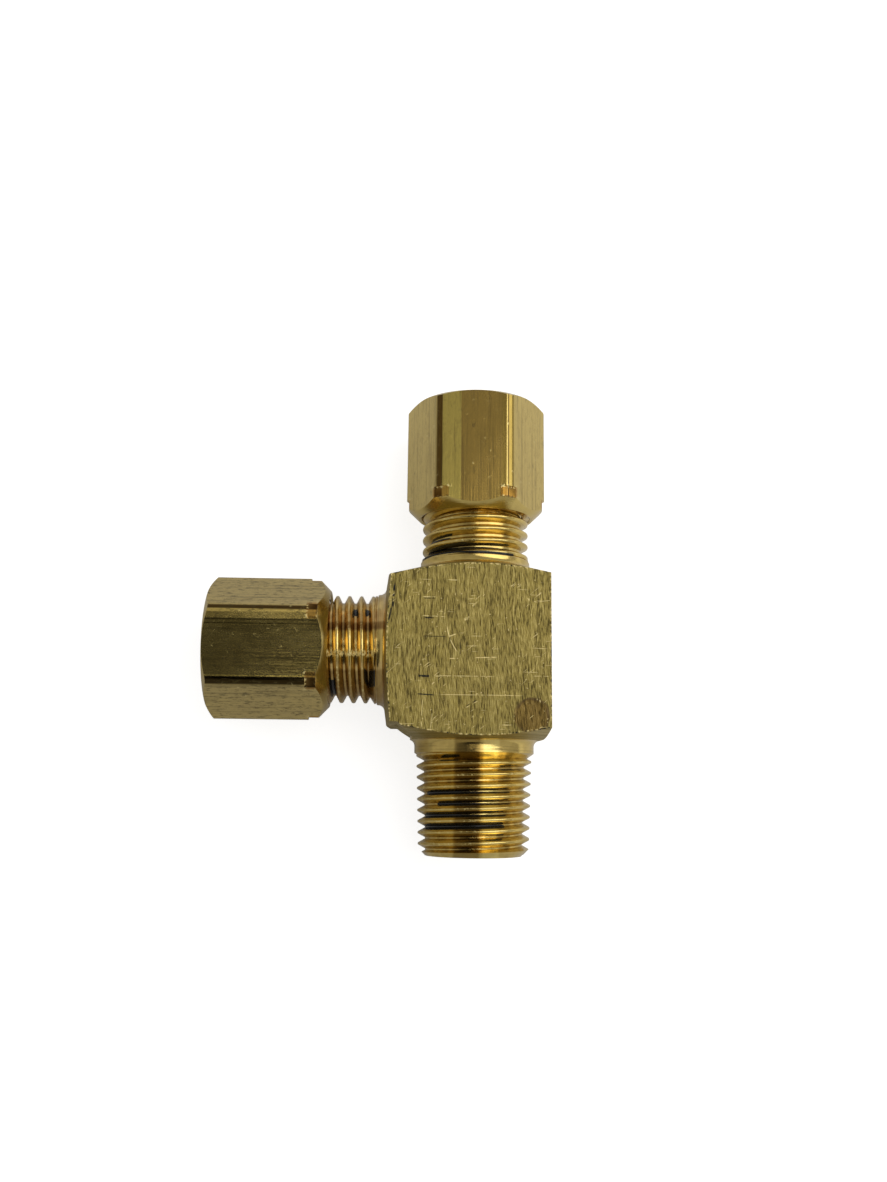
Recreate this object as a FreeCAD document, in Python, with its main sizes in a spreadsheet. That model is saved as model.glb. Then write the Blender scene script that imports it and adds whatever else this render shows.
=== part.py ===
import FreeCAD, Part
import math
import os
import Sketcher

# Brass compression run tee: two compression ends, on the run (+Y) and on the branch (-X), and a taper pipe
# thread on the other end of the run (-Y). The tee lies on the lower of its two sawn faces, with +Z up.
# The origin is where the axes of the run and the branch cross.
# Each compression end carries a hex nut, screwed part of the way on, with a loose sleeve inside it.

Vector = FreeCAD.Vector

# Driving dimensions, in millimetres and degrees. Distances along an arm are measured outward from the origin.
SIZES = {
    # Block between the two sawn faces; each shoulder is a shallow cone, sized where it meets the face
    "block_half_thickness": 6.35,
    "block_back": 6.08,
    "block_margin": 0.8,
    "run_shoulder": 6.83,
    "run_slope": 17.0,
    "branch_shoulder": 7.80,
    "branch_slope": 8.0,
    "pipe_shoulder": 7.70,
    "pipe_slope": 16.0,
    "shoulder_reach": 14.0,
    "corner_cut_low": 6.65,
    "corner_cut_side": 6.80,
    "corner_cut_end": 5.45,
    # Plain necks between the shoulders and the threads
    "neck_radius": 4.90,
    "neck_step": 0.10,
    "neck_lead": 0.15,
    "root_fillet": 0.55,
    "run_neck_line": 7.95,
    "run_neck_end": 8.35,
    "branch_neck_line": 8.62,
    "branch_neck_end": 9.00,
    "pipe_neck_radius": 5.24,
    "pipe_neck_end": 9.02,
    "pipe_neck_chamfer": 0.28,
    # Compression threads, 3/8-24
    "thread_radius": 4.76,
    "thread_pitch": 1.0583,
    "thread_depth": 0.65,
    "thread_flank": 30.0,
    "thread_root_flat": 0.13,
    "thread_overrun": 0.08,
    "thread_chamfer": 0.70,
    "run_end": 15.90,
    "run_groove": 8.41,
    "branch_end": 16.75,
    "branch_groove": 9.10,
    # Taper pipe thread, 1/8-27
    "pipe_radius": 5.06,
    "pipe_pitch": 0.9407,
    "pipe_depth": 0.64,
    "pipe_root_flat": 0.08,
    "pipe_taper": 0.03125,
    "pipe_groove": 9.24,
    "pipe_end": 17.75,
    "pipe_chamfer": 0.60,
    # Passages: a tube socket with a tapered seat in each compression end, and the flow bores
    "flow_radius": 1.60,
    "tube_radius": 2.42,
    "socket_depth": 7.00,
    "seat_radius": 3.30,
    "seat_slope": 12.0,
    # Nuts, 7/16 hex; distances along a nut are measured from its threaded face
    "hex_half_flats": 5.556,
    "hex_corner_round": 0.90,
    "nut_length": 10.50,
    "land_radius": 6.08,
    "land_length": 0.90,
    "land_slope_length": 0.88,
    "land_face_radius": 5.15,
    "nut_end_radius": 5.50,
    "nut_end_slope": 30.0,
    "nut_thread_radius": 4.30,
    "nut_thread_root": 4.88,
    "nut_root_flat": 0.26,
    "nut_mouth_radius": 4.95,
    "nut_thread_length": 6.40,
    "nut_cavity_radius": 3.80,
    "nut_seat_start": 8.00,
    "nut_seat_radius": 3.30,
    "nut_hole_chamfer": 0.30,
    "run_nut_face": 12.00,
    "branch_nut_face": 12.82,
    "run_nut_turn": -4.4,
    "branch_nut_turn": -3.6,
    # Sleeves; the nose points into the tee
    "sleeve_radius": 3.18,
    "sleeve_nose_radius": 2.95,
    "sleeve_back_radius": 2.86,
    "sleeve_length": 5.60,
    "sleeve_back": 8.30,
}


def make_sheet(doc):
    """Put every driving dimension in a spreadsheet cell that has the dimension's name as its alias."""
    sheet = doc.addObject("Spreadsheet::Sheet", "Sizes")
    for row, (name, value) in enumerate(SIZES.items(), start=1):
        sheet.set(f"A{row}", name)
        sheet.set(f"B{row}", str(value))
        sheet.setAlias(f"B{row}", name)
    doc.recompute()
    return sheet


def sized(expression):
    """Write an expression on the sheet's aliases with the sheet's name in front of each of them."""
    words = expression.split()
    return " ".join(f"Sizes.{word}" if word in SIZES else word for word in words)


def origin_plane(body, role):
    """Find one of a body's own origin planes."""
    return next(item for item in body.Origin.OriginFeatures if item.Role == role)


def outline(body, name, points, plane="XY_Plane"):
    """Sketch a closed outline of straight lines whose corners are tied to the sheet, and return it."""
    sketch = body.newObject("Sketcher::SketchObject", name)
    sketch.AttachmentSupport = (origin_plane(body, plane), "")
    sketch.MapMode = "FlatFace"
    corners = [tuple(float(sketch.evalExpression(sized(text))) for text in point) for point in points]
    count = len(corners)
    for index, (start_x, start_y) in enumerate(corners):
        end_x, end_y = corners[(index + 1) % count]
        sketch.addGeometry(Part.LineSegment(Vector(start_x, start_y, 0), Vector(end_x, end_y, 0)), False)
    for index in range(count):
        sketch.addConstraint(Sketcher.Constraint("Coincident", index, 2, (index + 1) % count, 1))
    for index, (texts, corner) in enumerate(zip(points, corners)):
        for kind, axis, text, value in zip(("DistanceX", "DistanceY"), (-2, -1), texts, corner):
            tie_corner(sketch, index, kind, axis, sized(text), value)
    return sketch


def tie_corner(sketch, index, kind, axis, expression, value):
    """Hold one coordinate of a sketch's corner: on the axis where it is zero, else at a distance from it."""
    if abs(value) < 1e-9:
        sketch.addConstraint(Sketcher.Constraint("PointOnObject", index, 1, axis))
    elif value > 0:
        added = sketch.addConstraint(Sketcher.Constraint(kind, -1, 1, index, 1, value))
        sketch.setExpression(f"Constraints[{added}]", expression)
    else:
        added = sketch.addConstraint(Sketcher.Constraint(kind, index, 1, -1, 1, -value))
        sketch.setExpression(f"Constraints[{added}]", f"-({expression})")


def pad(body, name, sketch, length):
    """Pad a sketch to a length from the sheet, half to each side of its plane."""
    feature = body.newObject("PartDesign::Pad", name)
    feature.Profile = sketch
    feature.SideType = "Symmetric"
    feature.setExpression("Length", sized(length))
    return feature


def revolve(body, name, sketch, axis, cut=False):
    """Turn a sketch a full turn about its own vertical or horizontal axis, to add or to cut."""
    feature = body.newObject("PartDesign::Groove" if cut else "PartDesign::Revolution", name)
    feature.Profile = sketch
    feature.ReferenceAxis = (sketch, [axis])
    feature.Angle = 360
    return feature


def cut_thread(body, name, sketch, axis, height, backward=False):
    """Sweep a groove's section along a right-handed helix of the compression thread's pitch."""
    feature = body.newObject("PartDesign::SubtractiveHelix", name)
    feature.Profile = sketch
    feature.ReferenceAxis = (sketch, [axis])
    feature.Mode = "pitch-height-angle"
    feature.setExpression("Pitch", sized("thread_pitch"))
    feature.setExpression("Height", sized(height))
    feature.Reversed = backward
    return feature


def round_edges(doc, body, name, base, radius, wanted):
    """Fillet the edges of a feature that a test picks out."""
    doc.recompute()
    names = [f"Edge{number}" for number, edge in enumerate(base.Shape.Edges, start=1) if wanted(edge)]
    fillet = body.newObject("PartDesign::Fillet", name)
    fillet.Base = (base, names)
    fillet.setExpression("Radius", sized(radius))
    return fillet


def add_block(body):
    """Pad the block between the sawn faces and turn its three shoulders to shallow cones."""
    low = "- ( pipe_shoulder + block_margin )"
    block = outline(body, "BlockOutline", [
        ("block_back", "run_shoulder + block_margin"),
        ("- ( branch_shoulder + block_margin )", "run_shoulder + block_margin"),
        ("- ( branch_shoulder + block_margin )", "- corner_cut_low"),
        ("- corner_cut_side", "- corner_cut_low"),
        ("- corner_cut_end", "- pipe_shoulder"),
        ("- corner_cut_end", low),
        ("block_back", low),
    ])
    pad(body, "Block", block, "2 * block_half_thickness")
    for arm, sign in (("run", ""), ("pipe", "-")):
        inner = "pipe_neck_radius" if arm == "pipe" else "neck_radius"
        near, far, top = shoulder_heights(arm, inner)
        section = outline(body, f"{arm.title()}ShoulderSection", [
            (inner, f"{sign} ( {near} )"),
            ("shoulder_reach", f"{sign} ( {far} )"),
            ("shoulder_reach", f"{sign} ( {top} )"),
            (inner, f"{sign} ( {top} )"),
        ])
        revolve(body, f"{arm.title()}Shoulder", section, "V_Axis", cut=True)
    near, far, top = shoulder_heights("branch", "neck_radius")
    section = outline(body, "BranchShoulderSection", [
        (f"- ( {near} )", "neck_radius"),
        (f"- ( {far} )", "shoulder_reach"),
        (f"- ( {top} )", "shoulder_reach"),
        (f"- ( {top} )", "neck_radius"),
    ])
    revolve(body, "BranchShoulder", section, "H_Axis", cut=True)


def shoulder_heights(arm, inner):
    """Give a shoulder's height at the neck's radius, at its far rim, and above the block, as expressions."""
    near = f"{arm}_shoulder + ( block_half_thickness - {inner} ) * tan( {arm}_slope * 1deg )"
    far = f"{arm}_shoulder - ( shoulder_reach - block_half_thickness ) * tan( {arm}_slope * 1deg )"
    return near, far, f"{arm}_shoulder + 2 * block_margin"


def add_run(body):
    """Turn the run in one piece: the pipe end, its neck, and the compression end's neck and thread blank."""
    chamfer_root = "pipe_radius - ( pipe_end - pipe_groove ) * pipe_taper - pipe_chamfer"
    section = outline(body, "RunSection", [
        ("0", "- pipe_end"),
        (chamfer_root, "- pipe_end"),
        (f"{chamfer_root} + pipe_chamfer", "- ( pipe_end - pipe_chamfer )"),
        ("pipe_radius", "- ( pipe_neck_end + pipe_neck_chamfer )"),
        ("pipe_neck_radius", "- pipe_neck_end"),
        ("pipe_neck_radius", "0"),
        ("neck_radius", "0"),
        ("neck_radius", "run_neck_line"),
        ("neck_radius - neck_step", "run_neck_line"),
        ("neck_radius - neck_step", "run_neck_end - neck_lead"),
        ("thread_radius", "run_neck_end"),
        ("thread_radius", "run_end - thread_chamfer"),
        ("thread_radius - thread_chamfer", "run_end"),
        ("0", "run_end"),
    ])
    revolve(body, "Run", section, "V_Axis")


def add_branch(body):
    """Turn the branch: its neck and thread blank."""
    section = outline(body, "BranchSection", [
        ("0", "0"),
        ("0", "neck_radius"),
        ("- branch_neck_line", "neck_radius"),
        ("- branch_neck_line", "neck_radius - neck_step"),
        ("- ( branch_neck_end - neck_lead )", "neck_radius - neck_step"),
        ("- branch_neck_end", "thread_radius"),
        ("- ( branch_end - thread_chamfer )", "thread_radius"),
        ("- branch_end", "thread_radius - thread_chamfer"),
        ("- branch_end", "0"),
    ])
    return revolve(body, "Branch", section, "H_Axis")


def cut_passages(body):
    """Bore the run right through and the branch as far as the run, with a socket and seat in each mouth."""
    seat_depth = "( seat_radius - tube_radius ) / tan( seat_slope * 1deg )"
    run = outline(body, "RunPassageSection", [
        ("0", "- ( pipe_end + block_margin )"),
        ("flow_radius", "- ( pipe_end + block_margin )"),
        ("flow_radius", "run_end - socket_depth"),
        ("tube_radius", "run_end - socket_depth"),
        ("tube_radius", f"run_end - {seat_depth}"),
        ("seat_radius", "run_end"),
        ("seat_radius", "run_end + block_margin"),
        ("0", "run_end + block_margin"),
    ])
    revolve(body, "RunPassage", run, "V_Axis", cut=True)
    branch = outline(body, "BranchPassageSection", [
        ("0", "0"),
        ("0", "flow_radius"),
        ("- ( branch_end - socket_depth )", "flow_radius"),
        ("- ( branch_end - socket_depth )", "tube_radius"),
        (f"- ( branch_end - {seat_depth} )", "tube_radius"),
        ("- branch_end", "seat_radius"),
        ("- ( branch_end + block_margin )", "seat_radius"),
        ("- ( branch_end + block_margin )", "0"),
    ])
    revolve(body, "BranchPassage", branch, "H_Axis", cut=True)


def groove_widths():
    """Give the compression thread groove's half widths at its root and outside its crest."""
    root = "thread_root_flat / 2"
    rise = "( thread_depth + thread_overrun ) * tan( thread_flank * 1deg )"
    return root, f"{root} + {rise}"


def cut_compression_threads(body):
    """Cut the right-handed thread on each compression end, from the neck to past the end."""
    root, mouth = groove_widths()
    low = "- ( thread_radius - thread_depth )"
    high = "- ( thread_radius + thread_overrun )"
    run = outline(body, "RunGrooveSection", [
        (low, f"run_groove - {root}"),
        (high, f"run_groove - ( {mouth} )"),
        (high, f"run_groove + ( {mouth} )"),
        (low, f"run_groove + {root}"),
    ])
    cut_thread(body, "RunThread", run, "V_Axis", "run_end + thread_pitch - run_groove")
    branch = outline(body, "BranchGrooveSection", [
        (f"- ( branch_groove - {root} )", low),
        (f"- ( branch_groove - ( {mouth} ) )", high),
        (f"- ( branch_groove + ( {mouth} ) )", high),
        (f"- ( branch_groove + {root} )", low),
    ])
    length = "branch_end + thread_pitch - branch_groove"
    cut_thread(body, "BranchThread", branch, "H_Axis", length, backward=True)


def make_tee(doc, sheet):
    """Build the tee's one-piece body and cut the taper pipe thread on its lower end."""
    body = doc.addObject("PartDesign::Body", "TeeBlank")
    add_block(body)
    add_run(body)
    branch = add_branch(body)
    round_edges(doc, body, "ShoulderRoots", branch, "root_fillet", is_shoulder_root)
    cut_passages(body)
    cut_compression_threads(body)
    doc.recompute()
    groove = make_taper_groove(doc, sheet)
    tee = doc.addObject("Part::Cut", "Tee")
    tee.Base = body
    tee.Tool = groove
    tee.Label = "tee_body"
    return tee


def is_shoulder_root(edge):
    """Pick the three circles where a shoulder's cone meets its neck."""
    if not isinstance(edge.Curve, Part.Circle):
        return False
    roots = [root_circle("run", "neck_radius"), root_circle("branch", "neck_radius")]
    roots.append(root_circle("pipe", "pipe_neck_radius"))
    found = (edge.Curve.Radius, edge.Curve.Center.Length)
    return any(math.dist(found, root) < 1e-3 for root in roots)


def root_circle(arm, neck):
    """Give the radius of a shoulder's root circle and its centre's distance from the origin."""
    rise = (SIZES["block_half_thickness"] - SIZES[neck]) * math.tan(math.radians(SIZES[f"{arm}_slope"]))
    return SIZES[neck], SIZES[f"{arm}_shoulder"] + rise


def make_taper_groove(doc, sheet):
    """Make the pipe thread's groove as one solid, swept along a tapering right-handed helix."""
    taper = sheet.pipe_taper
    flank = math.tan(math.radians(sheet.thread_flank))
    start = sheet.pipe_groove
    length = sheet.pipe_end + sheet.pipe_pitch - start
    crest = sheet.pipe_radius
    helix = Part.makeLongHelix(sheet.pipe_pitch, length, crest, -math.degrees(math.atan(taper)))
    helix.translate(Vector(0, 0, start))
    low = crest - sheet.pipe_depth
    high = crest + 2 * sheet.thread_overrun
    root = sheet.pipe_root_flat / 2
    mouth = root + (high - low) * flank
    section = Part.makePolygon([
        Vector(low, 0, start - root),
        Vector(high, 0, start - mouth),
        Vector(high, 0, start + mouth),
        Vector(low, 0, start + root),
        Vector(low, 0, start - root),
    ])
    sweep = Part.Wire(helix).makePipeShell([section], True, True)
    groove = doc.addObject("Part::Feature", "PipeGroove")
    groove.Shape = sweep.reversed() if sweep.Volume < 0 else sweep
    groove.Placement = FreeCAD.Placement(Vector(0, 0, 0), FreeCAD.Rotation(Vector(1, 0, 0), 90))
    return groove


def is_upright(edge):
    """Pick the prism's long corners."""
    return isinstance(edge.Curve, Part.Line) and abs(edge.tangentAt(edge.FirstParameter).z) > 0.999


def turn_nut_ends(body, name):
    """Turn a short round land and a slope on the nut's threaded end, and a chamfer on its outer end."""
    land_end = "land_slope_length + land_length"
    threaded = outline(body, f"{name}LandSection", [
        ("land_face_radius", "- block_margin"),
        ("land_face_radius", "0"),
        ("land_radius", "land_slope_length"),
        ("land_radius", land_end),
        ("shoulder_reach", land_end),
        ("shoulder_reach", "- block_margin"),
    ], plane="XZ_Plane")
    revolve(body, f"{name}Land", threaded, "V_Axis", cut=True)
    drop = "( shoulder_reach - nut_end_radius ) * tan( nut_end_slope * 1deg )"
    outer = outline(body, f"{name}ChamferSection", [
        ("nut_end_radius", "nut_length"),
        ("shoulder_reach", f"nut_length - {drop}"),
        ("shoulder_reach", "nut_length + block_margin"),
        ("nut_end_radius", "nut_length + block_margin"),
    ], plane="XZ_Plane")
    revolve(body, f"{name}Chamfer", outer, "V_Axis", cut=True)


def bore_nut(body, name):
    """Bore the nut: its mouth, the thread's inner radius, the sleeve's cavity and seat, and the tube hole."""
    hole_mouth = "tube_radius + nut_hole_chamfer"
    section = outline(body, f"{name}BoreSection", [
        ("0", "- block_margin"),
        ("nut_mouth_radius", "- block_margin"),
        ("nut_mouth_radius", "0"),
        ("nut_thread_radius", "nut_mouth_radius - nut_thread_radius"),
        ("nut_thread_radius", "nut_thread_length"),
        ("nut_cavity_radius", "nut_thread_length + nut_thread_radius - nut_cavity_radius"),
        ("nut_cavity_radius", "nut_seat_start"),
        ("nut_seat_radius", "nut_seat_start"),
        ("tube_radius", "nut_seat_start + nut_seat_radius - tube_radius"),
        ("tube_radius", "nut_length - nut_hole_chamfer"),
        (hole_mouth, "nut_length"),
        (hole_mouth, "nut_length + block_margin"),
        ("0", "nut_length + block_margin"),
    ], plane="XZ_Plane")
    revolve(body, f"{name}Bore", section, "V_Axis", cut=True)


def cut_nut_thread(body, name, arm):
    """Cut the nut's thread so that its groove lies over the arm's ridge, with clearance all round."""
    root = "nut_root_flat / 2"
    inner = "nut_thread_radius - thread_overrun"
    mouth = f"{root} + ( nut_thread_root - nut_thread_radius + thread_overrun ) * tan( thread_flank * 1deg )"
    start = f"( {arm}_groove + ( 2 + {arm}_nut_turn / 360 ) * thread_pitch - {arm}_nut_face )"
    section = outline(body, f"{name}GrooveSection", [
        ("nut_thread_root", f"{start} - {root}"),
        (inner, f"{start} - ( {mouth} )"),
        (inner, f"{start} + {mouth}"),
        ("nut_thread_root", f"{start} + {root}"),
    ], plane="XZ_Plane")
    cut_thread(body, f"{name}Thread", section, "V_Axis", f"nut_thread_length - {start} - thread_pitch / 2")


def make_nut(doc, name, arm, placement):
    """Build a compression nut about its own Z axis, from its threaded face at 0, and put it on its arm."""
    body = doc.addObject("PartDesign::Body", name)
    corner = "hex_half_flats / cos( 30deg )"
    side = f"{corner} / 2"
    hexagon = outline(body, f"{name}Hexagon", [
        (corner, "0"),
        (side, "hex_half_flats"),
        (f"- ( {side} )", "hex_half_flats"),
        (f"- ( {corner} )", "0"),
        (f"- ( {side} )", "- hex_half_flats"),
        (side, "- hex_half_flats"),
    ])
    prism = pad(body, f"{name}Prism", hexagon, "nut_length")
    prism.SideType = "One side"
    round_edges(doc, body, f"{name}Corners", prism, "hex_corner_round", is_upright)
    turn_nut_ends(body, name)
    bore_nut(body, name)
    cut_nut_thread(body, name, arm)
    body.Label = f"{arm}_nut"
    body.Placement = placement
    return body


def make_sleeve(doc, name, arm, placement):
    """Turn a sleeve about its own Z axis, in the nut's coordinates, with both ends tapered."""
    body = doc.addObject("PartDesign::Body", name)
    nose = "sleeve_back - sleeve_length"
    taper_length = "( sleeve_radius - sleeve_nose_radius ) / tan( seat_slope * 1deg )"
    section = outline(body, f"{name}Section", [
        ("tube_radius", nose),
        ("sleeve_nose_radius", nose),
        ("sleeve_radius", f"{nose} + {taper_length}"),
        ("sleeve_radius", "sleeve_back - ( sleeve_radius - sleeve_back_radius )"),
        ("sleeve_back_radius", "sleeve_back"),
        ("tube_radius", "sleeve_back"),
    ], plane="XZ_Plane")
    revolve(body, f"{name}Turned", section, "V_Axis")
    body.Label = f"{arm}_sleeve"
    body.Placement = placement
    return body


def arm_placements(sheet):
    """Give each compression arm's nut placement: its Z axis outward, turned about it as it was left."""
    along_run = FreeCAD.Rotation(Vector(1, 0, 0), -90)
    along_branch = FreeCAD.Rotation(Vector(0, 0, 1), 90).multiply(along_run)
    run_turn = FreeCAD.Rotation(Vector(0, 0, 1), sheet.run_nut_turn)
    branch_turn = FreeCAD.Rotation(Vector(0, 0, 1), sheet.branch_nut_turn)
    return {
        "run": FreeCAD.Placement(Vector(0, sheet.run_nut_face, 0), along_run.multiply(run_turn)),
        "branch": FreeCAD.Placement(Vector(-sheet.branch_nut_face, 0, 0), along_branch.multiply(branch_turn)),
    }


def check_document(doc, nodes):
    """Stop if any object failed to build or any sub-part has no valid solid."""
    for item in doc.Objects:
        if "Invalid" in item.State or "Error" in item.State:
            raise RuntimeError(f"{item.Name} failed: {item.State}")
    for node in nodes:
        if node.Shape.isNull() or not node.Shape.isValid() or len(node.Shape.Solids) != 1:
            raise RuntimeError(f"{node.Label} is not one valid solid")


def main():
    """Build the fitting's five pieces and write each one to its own file."""
    doc = FreeCAD.newDocument("CompressionRunTee")
    sheet = make_sheet(doc)
    nodes = [make_tee(doc, sheet)]
    for arm, placement in arm_placements(sheet).items():
        nodes.append(make_nut(doc, f"{arm.title()}Nut", arm, placement))
        nodes.append(make_sleeve(doc, f"{arm.title()}Sleeve", arm, placement))
    doc.recompute()
    check_document(doc, nodes)
    os.makedirs("parts", exist_ok=True)
    for node in nodes:
        node.Shape.exportStep(f"parts/{node.Label}.step")
        print(node.Label, round(node.Shape.Volume, 2), node.Shape.BoundBox)


main()
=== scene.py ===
"""Brass compression run tee: the look of the sawn and turned tee, its two hex nuts and their sleeves."""

import logging
import math
from dataclasses import dataclass, field
from enum import Enum
from typing import Callable, Sequence

import bpy
from mathutils import Matrix, Vector


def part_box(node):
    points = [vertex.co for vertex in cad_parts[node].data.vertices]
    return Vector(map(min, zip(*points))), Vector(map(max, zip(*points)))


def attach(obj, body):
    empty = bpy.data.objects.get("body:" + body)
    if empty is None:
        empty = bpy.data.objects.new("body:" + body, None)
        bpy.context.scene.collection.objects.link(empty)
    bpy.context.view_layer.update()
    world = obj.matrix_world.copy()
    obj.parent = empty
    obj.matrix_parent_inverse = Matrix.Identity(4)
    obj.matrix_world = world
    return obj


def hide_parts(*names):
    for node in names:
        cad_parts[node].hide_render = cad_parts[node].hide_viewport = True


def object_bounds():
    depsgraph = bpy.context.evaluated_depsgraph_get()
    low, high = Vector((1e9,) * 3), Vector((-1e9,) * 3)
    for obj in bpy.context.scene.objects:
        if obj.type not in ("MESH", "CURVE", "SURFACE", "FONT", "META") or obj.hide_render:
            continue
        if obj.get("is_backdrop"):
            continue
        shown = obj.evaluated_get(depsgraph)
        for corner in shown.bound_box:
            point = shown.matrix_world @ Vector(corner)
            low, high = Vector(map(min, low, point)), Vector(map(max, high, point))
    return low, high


MM = 0.001
log = logging.getLogger("run_tee")

Profile = Sequence[tuple[float, float]]

# Small sizes in millimetres that more than one piece needs
CREST_FALL = 0.045  # how far a rounded crest falls away at its sides
FOOT_SINK = 0.8  # how far a neck's foot is sunk into the block
LAP = 0.4  # how far a shoulder's cone reaches in under its neck
BROKEN_EDGE = 0.06


class Arm(Enum):
    """The tee's three arms, each with the turn that lays local +Z along it and the body's name stem."""

    RUN = "run"
    BRANCH = "branch"
    PIPE = "pipe"

    def turn(self) -> Matrix:
        """Return the rotation that takes local +Z to this arm's outward direction."""
        up_to_run = Matrix.Rotation(math.radians(-90), 4, "X")
        if self is Arm.RUN:
            return up_to_run
        if self is Arm.BRANCH:
            return Matrix.Rotation(math.radians(90), 4, "Z") @ up_to_run
        return Matrix.Rotation(math.radians(90), 4, "X")


# ---------------------------------------------------------------------------------------------- mesh tools


def only(piece: bpy.types.Object) -> None:
    """Select one object and nothing else, and make it the active one.

    Args:
        piece: The object to work on.
    """
    bpy.ops.object.select_all(action="DESELECT")
    piece.select_set(True)
    bpy.context.view_layer.objects.active = piece


def named(name: str) -> bpy.types.Object:
    """Name the object that an operator has just made, and its mesh, and return it.

    Args:
        name: The piece's name.

    Returns:
        The active object.
    """
    piece = bpy.context.object
    piece.name = name
    piece.data.name = name
    return piece


def apply_turn(piece: bpy.types.Object, turn: Matrix) -> None:
    """Turn a piece about the origin and put the turn into its mesh.

    Args:
        piece: The object, still at the origin.
        turn: The rotation to apply.
    """
    only(piece)
    piece.matrix_world = turn @ piece.matrix_world
    bpy.ops.object.transform_apply(location=True, rotation=True, scale=True)


def apply_modifier(piece: bpy.types.Object, kind: str, **settings: object) -> None:
    """Add a modifier, set it up and apply it.

    Args:
        piece: The object that takes it.
        kind: Blender's name for the type of modifier.
        **settings: The modifier's properties.
    """
    only(piece)
    modifier = piece.modifiers.new(kind.title(), kind)
    for key, value in settings.items():
        setattr(modifier, key, value)
    bpy.ops.object.modifier_apply(modifier=modifier.name)


def carve(piece: bpy.types.Object, tool: bpy.types.Object, operation: str) -> None:
    """Combine a piece with a tool solid and remove the tool.

    Args:
        piece: The object that keeps the result.
        tool: The solid that it is cut by or kept within.
        operation: INTERSECT, DIFFERENCE or UNION.
    """
    apply_modifier(piece, "BOOLEAN", object=tool, operation=operation, solver="EXACT")
    bpy.data.objects.remove(tool, do_unlink=True)


def outward(piece: bpy.types.Object, merge: float = 1e-7) -> None:
    """Merge a piece's doubled points and point its faces outwards.

    Args:
        piece: The object to clean.
        merge: The distance within which points are one, in metres.
    """
    only(piece)
    bpy.ops.object.mode_set(mode="EDIT")
    bpy.ops.mesh.select_all(action="SELECT")
    bpy.ops.mesh.remove_doubles(threshold=merge)
    bpy.ops.mesh.normals_make_consistent(inside=False)
    bpy.ops.object.mode_set(mode="OBJECT")


def smooth(piece: bpy.types.Object, angle: float = 35.0) -> None:
    """Shade a piece smooth, with sharp edges where its faces turn by more than an angle and level flats.

    Args:
        piece: The object to shade.
        angle: The angle in degrees.
    """
    only(piece)
    bpy.ops.object.shade_smooth_by_angle(angle=math.radians(angle))
    apply_modifier(piece, "WEIGHTED_NORMAL", keep_sharp=True, weight=50)


def turned(name: str, profile: Profile, sides: int = 128, ring: bool = False) -> bpy.types.Object:
    """Turn a solid about local Z: a disc is extruded and resized from each point of a profile to the next.

    Args:
        name: The piece's name.
        profile: Radius and height of each corner in millimetres, from the bottom up.
        sides: How many sides each round has.
        ring: True where the profile closes on itself and leaves a hole through the middle.

    Returns:
        The new solid, about the origin.
    """
    bpy.ops.object.select_all(action="DESELECT")
    radius, height = profile[0]
    bpy.ops.mesh.primitive_circle_add(vertices=sides, radius=radius * MM, fill_type="NGON",
                                      location=(0, 0, height * MM))
    piece = named(name)
    bpy.ops.object.transform_apply(location=True)
    bpy.ops.object.mode_set(mode="EDIT")
    bpy.ops.mesh.select_mode(type="VERT")
    bpy.ops.mesh.select_all(action="SELECT")
    corners = list(profile[1:]) + ([profile[0]] if ring else [])
    for next_radius, next_height in corners:
        rise = (0, 0, (next_height - height) * MM)
        bpy.ops.mesh.extrude_region_move(TRANSFORM_OT_translate={"value": rise})
        ratio = next_radius / radius
        bpy.ops.transform.resize(value=(ratio, ratio, 1))
        radius, height = next_radius, next_height
    if ring:
        bpy.ops.mesh.delete(type="ONLY_FACE")
        bpy.ops.mesh.select_all(action="SELECT")
        bpy.ops.mesh.remove_doubles(threshold=1e-7)
    bpy.ops.object.mode_set(mode="OBJECT")
    if ring:
        drop_caps(piece)
    outward(piece)
    return piece


def pick_faces(piece: bpy.types.Object, wanted: Callable[[bpy.types.MeshPolygon], bool]) -> None:
    """Enter edit mode, in face selection, with only the wanted faces selected.

    Args:
        piece: The object to edit.
        wanted: Says whether a face is selected.
    """
    only(piece)
    bpy.context.tool_settings.mesh_select_mode = (False, False, True)
    for item in (*piece.data.vertices, *piece.data.edges):
        item.select = False
    for face in piece.data.polygons:
        face.select = wanted(face)
    bpy.ops.object.mode_set(mode="EDIT")


def drop_caps(piece: bpy.types.Object) -> None:
    """Delete the many-sided face that is left across a ring's hole.

    Args:
        piece: The ring.
    """
    pick_faces(piece, lambda face: len(face.vertices) > 4)
    bpy.ops.mesh.delete(type="ONLY_FACE")
    bpy.ops.mesh.select_mode(type="VERT")
    bpy.ops.object.mode_set(mode="OBJECT")


@dataclass(frozen=True)
class ThreadForm:
    """A 60 degree thread's section, in millimetres.

    Attributes:
        crest: The crest's radius.
        depth: How deep the root lies below the crest.
        pitch: The travel in one turn.
        crest_round: Half the width over which the crest is rounded.
        root_flat: Half the width of the root's floor.
    """

    crest: float
    depth: float
    pitch: float
    crest_round: float = 0.13
    root_flat: float = 0.09

    def section(self) -> list[tuple[float, float]]:
        """Return the section over one pitch, from root to root, as radius and height."""
        root = self.crest - self.depth
        middle = self.pitch / 2
        half = middle - self.root_flat
        steps = 4
        crest = []
        for step in range(-steps, steps + 1):
            share = step / steps
            crest.append((self.crest - CREST_FALL * share * share, middle + share * self.crest_round))
        return [(root, 0.0), (root, middle - half), *crest, (root, middle + half), (root, self.pitch)]


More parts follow.
